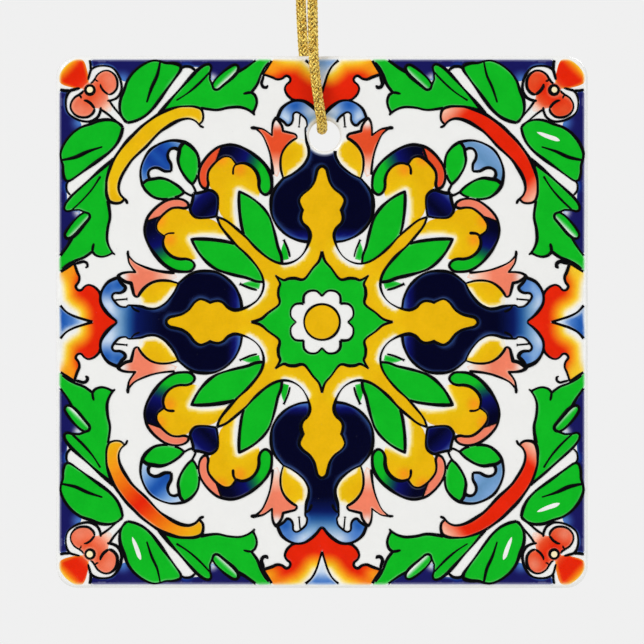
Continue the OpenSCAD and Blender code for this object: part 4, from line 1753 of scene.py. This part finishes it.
    @staticmethod
    def strokes() -> tuple[Stroke, ...]:
        """Lists the lines that stand by themselves.

        Returns:
            The lines, in one eighth of the pattern.
        """
        return (
            Stroke([(8.9, 4.4), (9.9, 4.65), (11.3, 5.25)], 0.18),
            Stroke([(11.2, 5.2), (11.3, 5.25)], 0.24, tapered=False),
            Stroke(EGG_TOP, 0.2),
            Stroke(WING_TIPS + WING_TOP, 0.2),
            Stroke([(26.5, 8.8), (26.65, 9.4), (26.6, 9.8)], 0.26),
            Stroke([(28.5, 3), (27.6, 3.08), (26.8, 3.15)], 0.17),
            Stroke([(26.85, 3.15), (26.7, 3.16)], 0.26, tapered=False),
            Stroke([(26.2, 2.2), (25.7, 1.7), (25, 1.4)], 0.22),
            Stroke([(33.9, 8), (33.3, 8.15), (32.7, 8.3), (32.25, 8.05), (32.2, 7.6), (32.5, 7.45)], 0.25),
            Stroke([(29.3, 9.2), (28.7, 9.45), (28.4, 9.2)], 0.26),
            Stroke([(31.5, 9.6), (31.45, 10.2), (31.3, 10.8)], 0.22),
            Stroke([(17.5, 17.3), (18.2, 17.45), (19, 17.9)], 0.19),
            Stroke([(21.7, 11.8), (21.1, 12.15), (20.2, 12.2)], 0.2),
            Stroke([(21.95, 14.55), (23.2, 14.1), (24.3, 13.7)], 0.16),
            Stroke([(34.3, 15.4), (32.9, 16.7), (31.5, 18.3), (30.4, 20)], 0.2),
            Stroke([(35.8, 22.2), (33.9, 22.6), (32.1, 23.4), (30.1, 24.05)], 0.2),
            Stroke([(34.5, 17.4), (35, 18), (35.05, 18.9), (34.7, 19.4)], 0.18),
            Stroke(PETAL_EDGE, 0.2),
            Stroke([(31.2, 29.3), (31.7, 29.95), (32.3, 30.35), (32.7, 30.4)], 0.2),
            Stroke([(33.4, 31.15), (33.1, 30.95), (33.05, 30.65)], 0.19),
            Stroke([(33.2, 32.1), (33.8, 31.95), (34.7, 31.6), (35.15, 30.4), (34.9, 28.8), (33.6, 27.8),
                    (32, 27.5), (30.9, 28), (30.45, 28.8), (30.35, 29.5)], 0.2),
            Stroke([(34.5, 31.75), (35.3, 31.75), (36, 31.9)], 0.2),
            Stroke([(30.4, 29.2), (29.5, 28.6), (28.4, 27.7), (27.35, 26.95)], 0.18),
            Stroke([(27.3, 17), (26.9, 16.7), (26.7, 16.2)], 0.24),
        )

    def clipped(self, points: np.ndarray) -> np.ndarray:
        """Cuts a closed line where the print ends at the tile's rounded outline.

        Args:
            points: the line's points in the first eighth.

        Returns:
            The cut line.
        """
        limit = self.tile.half - self.print_edge
        line = [tuple(p) for p in points.tolist()]
        for axis in (0, 1):
            kept: Outline = []
            for here, after in zip(line, line[1:] + line[:1]):
                stays = here[axis] <= limit
                if stays:
                    kept.append(here)
                if stays != (after[axis] <= limit):
                    share = (limit - here[axis]) / (after[axis] - here[axis])
                    kept.append(tuple(a + (b - a) * share for a, b in zip(here, after)))
            line = kept
        made = np.array(line)
        reach = self.tile.half - self.tile.corner_r
        over = made - reach
        size = np.linalg.norm(over, axis=1)
        radius = self.tile.corner_r - self.print_edge
        out = (over[:, 0] > 0) & (over[:, 1] > 0) & (size > radius)
        made[out] = reach + over[out] * (radius / size[out])[:, None]
        return smooth([(*p, 1) for p in made.tolist()], self.clip_spacing)

    def fill(self, outline: np.ndarray, holes: Loops, cuts: Sequence[tuple[Point, Point]]) -> Patch:
        """Fills an outline with triangles, finer towards its edges.

        Args:
            outline: the closed outer line.
            holes: closed lines that are left bare.
            cuts: straight lines that triangles don't cross.

        Returns:
            The patch.
        """
        loops = [outline, *holes]
        starts, ends = loop_segments(loops)
        border = loop_segments([outline])
        straight = [np.linspace(np.array(start, float), np.array(end, float), self.cut_points)
                    for start, end in cuts]
        edges = line_edges(loops, closed=True) + line_edges(straight, closed=False, first=len(starts))
        pieces = [*loops, *straight]
        for gap in self.rings:
            for loop in loops:
                step = np.roll(loop, -1, axis=0) - np.roll(loop, 1, axis=0)
                across = np.stack((-step[:, 1], step[:, 0]), axis=1)
                across /= np.maximum(np.linalg.norm(across, axis=1), NEAR_ZERO)[:, None]
                moved = np.concatenate((loop + gap * across, loop - gap * across))
                free = line_distance(moved, starts, ends) > self.ring_share * gap
                pieces.append(moved[inside(moved, *border) & free])
        low, high = outline.min(axis=0), outline.max(axis=0)
        rows = np.arange(low[1], high[1], self.grid * self.row_share)
        columns = np.arange(low[0], high[0], self.grid)
        net = np.array([(x + (row % 2) * self.grid / 2, y) for row, y in enumerate(rows) for x in columns])
        net = net[inside(net, *border)]
        pieces.append(net[line_distance(net, starts, ends) > self.rings[-1] + self.grid_share * self.grid])
        points, triangles = triangulate(np.concatenate(pieces), edges)
        middle = points[triangles].mean(axis=1)
        kept = inside(middle, *border)
        for hole in holes:
            kept &= ~inside(middle, *loop_segments([hole]))
        patch = Patch(points, triangles, np.zeros(len(points))).part(kept)
        patch.depth = line_distance(patch.points, starts, ends)
        return patch

    def _add(self, pile: Pile, patch: Patch, pool: Pool, quarter: int, side: int) -> None:
        """Adds one copy of a patch to a pile as a closed, domed pool.

        Args:
            pile: where it goes.
            patch: the pool's triangles in the first copy.
            pool: the kind of pool.
            quarter: the copy's quarter.
            side: 1 where the copy is mirrored.
        """
        places = turned(patch.points, quarter, side)
        border = patch.border()
        rim, numbers = np.unique(border, return_inverse=True)
        numbers = numbers.reshape(border.shape)
        front = self.tile.front(places)
        share = np.clip(patch.depth / self.pool_round, 0.0, 1.0)
        edge = np.minimum(self.tile.edge_distance(places), self.tile.hole_distance(places)) - self.print_edge
        sway = 1 + self.pool_sway * drift(places, self.pool_wave)
        lift = self.pool_height * pool.lift * np.sqrt(1 - (1 - share) ** 2) * sway
        top = self.tile.placed(places, front - lift * np.clip(edge / self.print_fade, 0.0, 1.0))
        bottom = self.tile.placed(places[rim], front[rim] + self.sunk)
        _, base = triangulate(patch.points[rim], [tuple(e) for e in numbers.tolist()])
        middle = patch.points[rim][base].mean(axis=1)
        base = base[inside(middle, patch.points[border[:, 0]], patch.points[border[:, 1]])]
        size = len(top)
        walls = np.concatenate((
            np.stack((border[:, 0], numbers[:, 0] + size, numbers[:, 1] + size), axis=1),
            np.stack((border[:, 0], numbers[:, 1] + size, border[:, 1]), axis=1)))
        triangles = np.concatenate((patch.triangles, walls, base[:, ::-1] + size))
        tint = pool.fades[quarter % len(pool.fades)].tint(places, patch.depth)
        tint = tinted(tint, Ink.WHITE, eased(1.0 - edge / self.print_fade))
        pile.add(np.concatenate((top, bottom)), triangles[:, ::-1] if side else triangles,
                 np.concatenate((tint, tint[rim])))

    def build_pools(self) -> Pieces:
        """Makes one piece for each glaze, in place of its CAD node.

        Returns:
            The pieces.
        """
        piles = {glaze: Pile() for glaze in Glaze}
        reach = self.tile.hole_r + self.print_edge
        for pool in self.pools():
            outline = self.clipped(smooth(inset(pool.outline, pool.gap), self.spacing))
            holes = []
            if pool.within is not None:
                holes.append(smooth(inset(pool.within, -pool.gap), self.spacing))
            whole = self.fill(outline, holes, pool.cuts)
            for quarter, side in pool.copies:
                patch = whole
                hole = turned_back(self.tile.hole[None], quarter, side)
                if np.linalg.norm(whole.points - hole, axis=1).min() < reach:
                    mouth = np.array(circle(hole[0], reach, self.tile.hole_steps))
                    patch = self.fill(outline, [*holes, mouth], pool.cuts)
                owner = pool.share(patch.points[patch.triangles].mean(axis=1))
                for number, glaze in enumerate(pool.glazes):
                    if (owner == number).any():
                        self._add(piles[glaze], patch.part(owner == number), pool, quarter, side)
        made = []
        for glaze, pile in piles.items():
            piece = pile.build(f"{glaze.value}_pools", GlazeFinish(glaze.value).material())
            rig.ride(piece, "tile")
            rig.replaces(piece, glaze.value)
            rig.slot(piece, glaze.value)
            made.append(piece)
        return made

    def _widths(self, line: np.ndarray, half: float, tapered: bool) -> np.ndarray:
        """Gives a line the width of a brush stroke, finest round the star.

        Args:
            line: the line's points.
            half: half its width.
            tapered: whether its ends are thinner.

        Returns:
            The half width at each point.
        """
        out = eased(np.linalg.norm(line, axis=1) / self.fine_reach - 1.0)
        sway = 1 + self.line_sway * drift(line, self.line_wave)
        width = half * (self.fine_share + (1 - self.fine_share) * out) * sway
        if tapered:
            ends = np.minimum(np.arange(len(line)), np.arange(len(line))[::-1])
            width = width * np.clip(self.taper_start + self.taper_step * ends, 0.0, 1.0)
        return width

    def _eighth_runs(self) -> list[tuple[np.ndarray, np.ndarray]]:
        """Draws the lines of one eighth of the pattern.

        Returns:
            The points and half widths of each line. An edge that two pools share is drawn once.
        """
        sources: list[tuple[np.ndarray, Optional[Stroke]]] = []
        for pool in self.pools():
            for outline in (pool.outline, pool.within):
                if pool.lined and outline is not None:
                    line = smooth(outline, self.line_spacing)
                    sources.append((np.concatenate((line, line[:1])), None))
        for stroke in self.strokes():
            sources.append((smooth(stroke.points, self.line_spacing, closed=False), stroke))
        runs: list[tuple[np.ndarray, np.ndarray]] = []
        known = np.empty((0, 2))
        for line, stroke in sources:
            wedge = (line[:, 1] > -self.wedge_slack) & (line[:, 1] < line[:, 0] + self.wedge_slack)
            free = wedge.copy()
            if len(known) and stroke is None:
                free &= line_distance(line, known, known) > self.line_reach
            grown = free.copy()
            for shift in (1, 2):
                grown[shift:] |= free[:-shift]
                grown[:-shift] |= free[shift:]
            parts = [line[run] for run in chosen_runs(grown & wedge)]
            half = self.line_half if stroke is None else stroke.half_width
            tapered = stroke is not None and stroke.tapered
            runs += [(part, self._widths(part, half, tapered)) for part in parts]
            known = np.concatenate([known, *parts])
        return runs

    def build_lines(self) -> Object:
        """Makes the dark line work as one piece of low beads.

        Returns:
            The piece.
        """
        paths: list[np.ndarray] = []
        widths: list[np.ndarray] = []
        for line, width in self._eighth_runs():
            for quarter, side in Copies.EIGHT:
                places = turned(line, quarter, side)
                off_edge = self.tile.edge_distance(places) > self.line_edge
                off_hole = self.tile.hole_distance(places) > self.line_mouth
                for run in chosen_runs(off_edge & off_hole):
                    shown = places[run]
                    sway = 1 + self.copy_sway * drift(shown, self.copy_wave)
                    paths.append(self.tile.placed(shown, self.tile.front(shown) - self.line_lift))
                    widths.append(width[run] * sway * MM)
        material = LineFinish("line_paint", Ink.LINE).material()
        sheet = ShapeSheet("beads", {
            "Height": self.line_height, "Sides": self.line_sides, "Material": material})
        level = sheet.value("ShaderNodeSeparateXYZ", {}, {0: sheet.link("GeometryNodeInputPosition")}, "Y")
        path = sheet.noted(sheet.path(), "level", level)
        bead = sheet.tube(path, 1.0, sheet.recalled("half_width"))
        rise = (level - sheet.recalled("level")) * (sheet.given("Height") - 1.0)
        sheet.close(sheet.moved(bead, sheet.link("ShaderNodeCombineXYZ", {}, {"Y": rise})))
        piece = sheet.applied(path_object("line_work", paths, widths))
        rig.ride(piece, "tile")
        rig.slot(piece, "line_paint")
        return piece

    def build(self) -> Pieces:
        """Makes the pools and the line work."""
        return [*self.build_pools(), self.build_lines()]


# Cord


@dataclass(frozen=True)
class Braid:
    """A round braid of yarns that pass over two and under two, in millimetres."""

    yarns: int = 16
    pitch: float = 5.0
    middle_r: float = 0.52
    weave: float = 0.075
    yarn_r: float = 0.165
    core_r: float = 0.43
    step: float = 0.18
    fray: float = 0.0
    fray_len: float = 1.6
    sides: int = 5

    def sheet(self, name: str, material: Material) -> ShapeSheet:
        """Makes the tree that braids yarns round a path.

        Args:
            name: the tree's name.
            material: what the yarns are made of.

        Returns:
            The tree.
        """
        half = self.yarns / 2
        sheet = ShapeSheet(name, {
            "Yarns": self.yarns, "Twist": 2 * math.pi / (self.pitch * MM), "Middle": self.middle_r * MM,
            "Weave": self.weave * MM, "Yarn": self.yarn_r * MM, "Core": self.core_r * MM,
            "Step": self.step * MM, "Fray": self.fray * MM, "Sides": self.sides, "Material": material})
        even = sheet.link("GeometryNodeResampleCurve", {"mode": "LENGTH"},
                          {"Curve": sheet.path(), "Length": sheet.given("Step")})
        copied = sheet.node("GeometryNodeDuplicateElements", {"domain": "SPLINE"},
                            {"Geometry": even, "Amount": sheet.given("Yarns")})
        number = Value(sheet, copied.outputs["Duplicate Index"])
        way = number % 2.0 * 2.0 - 1.0
        rank = (number / 2.0).floor()
        length = sheet.value("GeometryNodeSplineParameter", output="Length")
        whole = sheet.value("GeometryNodeSplineLength", output="Length")
        twist = sheet.given("Twist") * length
        turn = way * twist + rank * (2 * math.pi / half)
        crossings = twist * (half / math.pi)
        wave = ((rank * 2.0 + way * crossings) * (math.pi / 2) + math.pi / 4).sine() * way
        end = length.least(whole - length)
        loose = (1.0 - end.eased(0.0, self.fray_len * MM)) * sheet.given("Fray")
        radius = sheet.given("Middle") + wave * sheet.given("Weave") + loose
        normal = sheet.link("GeometryNodeInputNormal", output="Normal")
        side = sheet.vector_maths("CROSS_PRODUCT", sheet.link("GeometryNodeInputTangent"), normal)
        out = sheet.vector_maths("ADD", sheet.scaled(normal, radius * turn.cosine()),
                                 sheet.scaled(side, radius * turn.sine()))
        noted = sheet.noted(copied.outputs["Geometry"], "crest", wave * 0.5 + 0.5)
        laid = sheet.moved(sheet.noted(noted, "yarn", number), out)
        joined = sheet.node("GeometryNodeJoinGeometry", {}, {0: sheet.tube(laid, sheet.given("Yarn"))})
        sheet.feed(joined.inputs[0], sheet.tube(even, sheet.given("Core")))
        sheet.close(joined.outputs[0])
        return sheet


@dataclass
class HangingCord:
    """The braided cord from tail to tail, and the wraps of its knot, in millimetres."""

    diameter: float = 1.45
    strand_gap: float = 1.5
    bend_z: float = -62.0
    leg_y: float = 2.9
    part_up: float = 25.0
    knot_tuck: float = 0.3
    knot_h: float = 5.5
    knot_d: float = 5.8
    tail_len: float = 7.0
    tail_lean: float = 11.0
    tail_root: float = 1.0
    tail_shares: tuple[float, ...] = (1.0, 0.75, 0.5, 0.25)
    tail_fray: float = 0.22
    wraps: float = 2.75
    wrap_start: float = 0.1
    wrap_steps: int = 220
    end_share: float = 0.09
    end_in: float = 0.7
    end_up: float = 0.35
    spacing: float = 0.3
    upper: tuple[Point, ...] = (
        (0.7, -0.9, 0.1), (0.5, -1.1, 0.24), (0.3, -1.3, 0.38), (0, -1.6, 0.52), (-0.3, -1.9, 0.65),
        (-0.6, -2.2, 0.76), (-0.9, -2.5, 0.86), (-1.1, -2.75, 0.95), (-1.25, -2.9, 1))
    lower: tuple[Point, ...] = (
        (-1.3, -2.95, 1, 21), (-1.3, -2.9, 1, 17.5), (-1.25, -2.75, 1, 14), (-1.15, -2.45, 1, 10),
        (-0.85, -1.7, 1, 6.5), (-0.5, -1, 1, 4), (-0.25, -0.4, 0.966, 2.2), (-0.1, -0.1, 0.845, 1.4),
        (0, 0, 0.603, 0.6), (0, 0, 0.31, 0.15))

    def _leg(self, column: int, side: int) -> list[Point]:
        """Lays one leg of the cord, from its trimmed tail down to the bend in the hole.

        Args:
            column: which sideways place of the listed points it takes, 0 or 1.
            side: -1 for the leg in front of the tile, 1 for the leg behind it.

        Returns:
            Points along its centre line.
        """
        strand = -side * self.strand_gap / 2
        lean = math.radians(self.tail_lean) * math.copysign(1, strand)
        root = self.knot_h - self.tail_root
        reach = self.tail_root + self.tail_len
        points: list[Point] = [
            (strand + reach * share * math.sin(lean), 0.0, root + reach * share * math.cos(lean))
            for share in self.tail_shares]
        points += [(strand, 0.0, height) for height in (root - 1.0, root / 2, -self.knot_tuck)]
        top = self.bend_z + self.part_up
        run = -self.knot_tuck - top
        count = len(self.upper)
        points += [(p[column], side * self.leg_y * p[2], top + run * (count - 1 - i) / count)
                   for i, p in enumerate(self.upper)]
        points += [(p[column], side * self.leg_y * p[2], self.bend_z + p[3]) for p in self.lower]
        return points

    def route(self) -> np.ndarray:
        """Lays the cord's centre line smoothly through the points of both legs.

        Returns:
            Points along the line in metres, from tail to tail.
        """
        points = np.array([*self._leg(0, -1), (0, 0, self.bend_z), *reversed(self._leg(1, 1))], float)
        padded = np.concatenate((points[:1], points, points[-1:]))
        line: list[np.ndarray] = []
        for before, here, after, beyond in zip(padded, padded[1:], padded[2:], padded[3:]):
            reach = float(np.linalg.norm(after - here))
            slopes = [slope * min(1.0, reach / max(NEAR_ZERO, float(np.linalg.norm(slope))))
                      for slope in ((after - before) / 2, (beyond - here) / 2)]
            steps = max(2, math.ceil(reach / self.spacing))
            line.extend(between(step / steps, here, slopes[0], after, slopes[1]) for step in range(steps))
        line.append(points[-1])
        return np.array(line) * MM

    def knot_route(self) -> np.ndarray:
        """Lays the centre line of the knot's wraps, tucked in at both ends.

        Returns:
            Points along the line in metres.
        """
        radius = (self.knot_d - self.diameter) / 2
        points: list[Point] = []
        for i in range(self.wrap_steps + 1):
            share = i / self.wrap_steps
            tuck = max(0.0, 1 - min(share, 1 - share) / self.end_share)
            angle = 2 * math.pi * (self.wraps * share + self.wrap_start)
            height = self.diameter / 2 + (self.knot_h - self.diameter) * share
            reach = radius - self.end_in * tuck * tuck
            lifted = height + math.copysign(self.end_up, 0.5 - share) * tuck
            points.append((reach * math.cos(angle), reach * math.sin(angle), lifted))
        return np.array(points) * MM

    def build(self) -> Pieces:
        """Makes the cord and its knot in place of the CAD nodes.

        Returns:
            The cord and the knot.
        """
        material = BraidFinish("gold_braid", Ink.GOLD, Ink.DARK_GOLD, Ink.PALE_GOLD).material()
        route = self.route()
        length = float(np.linalg.norm(np.diff(route, axis=0), axis=1).sum())
        cord_sheet = Braid(fray=self.tail_fray).sheet("cord_braid", material)
        knot_sheet = Braid().sheet("knot_braid", material)
        cord = cord_sheet.applied(path_object("hanging_cord_braid", [route]))
        knot = knot_sheet.applied(path_object("cord_knot_wraps", [self.knot_route()]))
        for piece, node in ((cord, "hanging_cord"), (knot, "cord_knot")):
            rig.replaces(piece, node)
            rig.slot(piece, "gold_braid")
        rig.ride(knot, "knot")
        parting = (self.bend_z + self.part_up) * MM
        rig.blend(cord, "knot", "cord", (0.0, 0.0, -1.0 * MM), (0.0, 0.0, parting))
        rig.cord(cord, exit=(0.0, 0.0, 0.0), length=length, diameter=self.diameter * MM, far_end="knot",
                stiffness="limp", lay="hanging", path=[tuple(p) for p in route.tolist()], with_pieces=[knot])
        LOG.info("the cord is %.1f mm long", length / MM)
        return [cord, knot]


# Studio


@dataclass
class Studio:
    """Camera, lamps, pale surroundings and a floor well below the hanging tile, in metres."""

    tile: Tile
    distance: float = 0.6
    photo_pixels: int = 644
    tile_pixels: int = 532
    fill_level: float = 0.56
    backdrop: float = 0.871
    flag_level: float = 0.03
    flag_edge: tuple[float, float] = (0.62, 0.9)
    floor_drop: float = 0.06
    floor_r: float = 0.55
    floor_fade: tuple[float, float] = (0.35, 0.95)
    floor_sides: int = 64

    def build_camera(self) -> None:
        """Makes the camera straight in front of the tile."""
        data = bpy.data.cameras.new("camera")
        made = new_object("camera", data)
        view = 2 * self.tile.half * MM * self.photo_pixels / self.tile_pixels
        data.lens = data.sensor_width * self.distance / view
        data.clip_start = 0.01
        data.clip_end = 20.0
        made.location = (0.0, self.tile.front_y * MM - self.distance, self.tile.centre_z * MM)
        made.rotation_euler = (math.pi / 2, 0.0, 0.0)
        bpy.context.scene.camera = made

    def _lamp(self, name: str, place: Point, size: float, power: float) -> None:
        """Adds a soft square lamp that points at the tile.

        Args:
            name: the lamp's name.
            place: where it stands.
            size: the length of its sides.
            power: its power in watts.
        """
        data = bpy.data.lights.new(name, "AREA")
        data.size = size
        data.energy = power
        made = new_object(name, data)
        target = Vector((0.0, 0.0, self.tile.centre_z * MM))
        made.location = Vector(place)
        made.rotation_euler = (target - Vector(place)).to_track_quat("-Z", "Y").to_euler()

    def build_lamps(self) -> None:
        """Adds the key lamp from the upper left and the softer ones round the object."""
        self._lamp("key", (-0.75, -0.75, 0.6), size=0.5, power=6.9)
        self._lamp("fill", (0.85, -0.7, 0.1), size=0.7, power=2.9)
        self._lamp("rim", (0.5, 0.9, 0.6), size=0.6, power=4.0)

    def build_world(self) -> None:
        """Makes the pale surroundings, darker for reflections of what is behind the camera."""
        world = bpy.data.worlds.new("studio")
        bpy.context.scene.world = world
        world.use_nodes = True
        sheet = Sheet(world.node_tree)
        rays = sheet.node("ShaderNodeLightPath")
        camera, through, shiny = (Value(sheet, rays.outputs[f"Is {kind} Ray"])
                                  for kind in ("Camera", "Transmission", "Glossy"))
        seen = camera.most(through)
        way = sheet.link("ShaderNodeTexCoord", output="Generated")
        ahead = sheet.value("ShaderNodeSeparateXYZ", {}, {0: way}, "Y")
        flag = (ahead * -1.0).eased(*self.flag_edge)
        mirror = self.backdrop - flag * (self.backdrop - self.flag_level)
        level = seen * self.backdrop + (1.0 - seen) * (shiny * mirror + (1.0 - shiny) * self.fill_level)
        sky = sheet.link("ShaderNodeBackground", {}, {"Color": (1.0, 1.0, 1.0, 1.0), "Strength": level})
        sheet.node("ShaderNodeOutputWorld", {}, {"Surface": sky})

    def build_floor(self) -> None:
        """Makes a pale round floor that fades out at its edge."""
        skin = Skin("floor")
        away = skin.value("ShaderNodeVectorMath", {"operation": "LENGTH"}, {0: skin.place}, "Value")
        fade = away.eased(*(share * self.floor_r for share in self.floor_fade))
        matt = skin.link("ShaderNodeBsdfDiffuse", {}, {"Color": Ink.FLOOR.linear})
        clear = skin.link("ShaderNodeBsdfTransparent")
        material = skin.ended(skin.link("ShaderNodeMixShader", {}, {0: fade, 1: matt, 2: clear}))
        rim = circle((0.0, 0.0), self.floor_r, self.floor_sides)
        made = mesh_object("floor", [(x, y, 0.0) for x, y in rim], [], [range(len(rim))], material)
        made.location.z = (self.tile.centre_z - self.tile.half) * MM - self.floor_drop
        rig.stage(made)

    def build(self) -> None:
        """Lights the scene and sets its plain view."""
        self.build_lamps()
        self.build_world()
        self.build_floor()
        bpy.context.scene.view_settings.view_transform = "Standard"


def write_sizes() -> None:
    """Writes the CAD box and the finished object's box."""
    boxes = {"cad": [list(corner) for corner in CAD_BOX], "visual": [list(corner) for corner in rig.bounds()]}
    with open(SIZE_FILE, "w", encoding="utf-8") as file:
        json.dump(boxes, file)


def main() -> None:
    """Builds the camera and the cord, then the tile, its painting and the studio."""
    logging.basicConfig(level=logging.INFO, format="%(message)s")
    tile = Tile()
    studio = Studio(tile)
    studio.build_camera()
    for assembly in (HangingCord(), tile, Painting(tile)):
        for piece in assembly.build():
            LOG.info("%s has %d faces", piece.name, len(piece.data.polygons))
    studio.build()
    write_sizes()


if __name__ == "__main__":
    main()
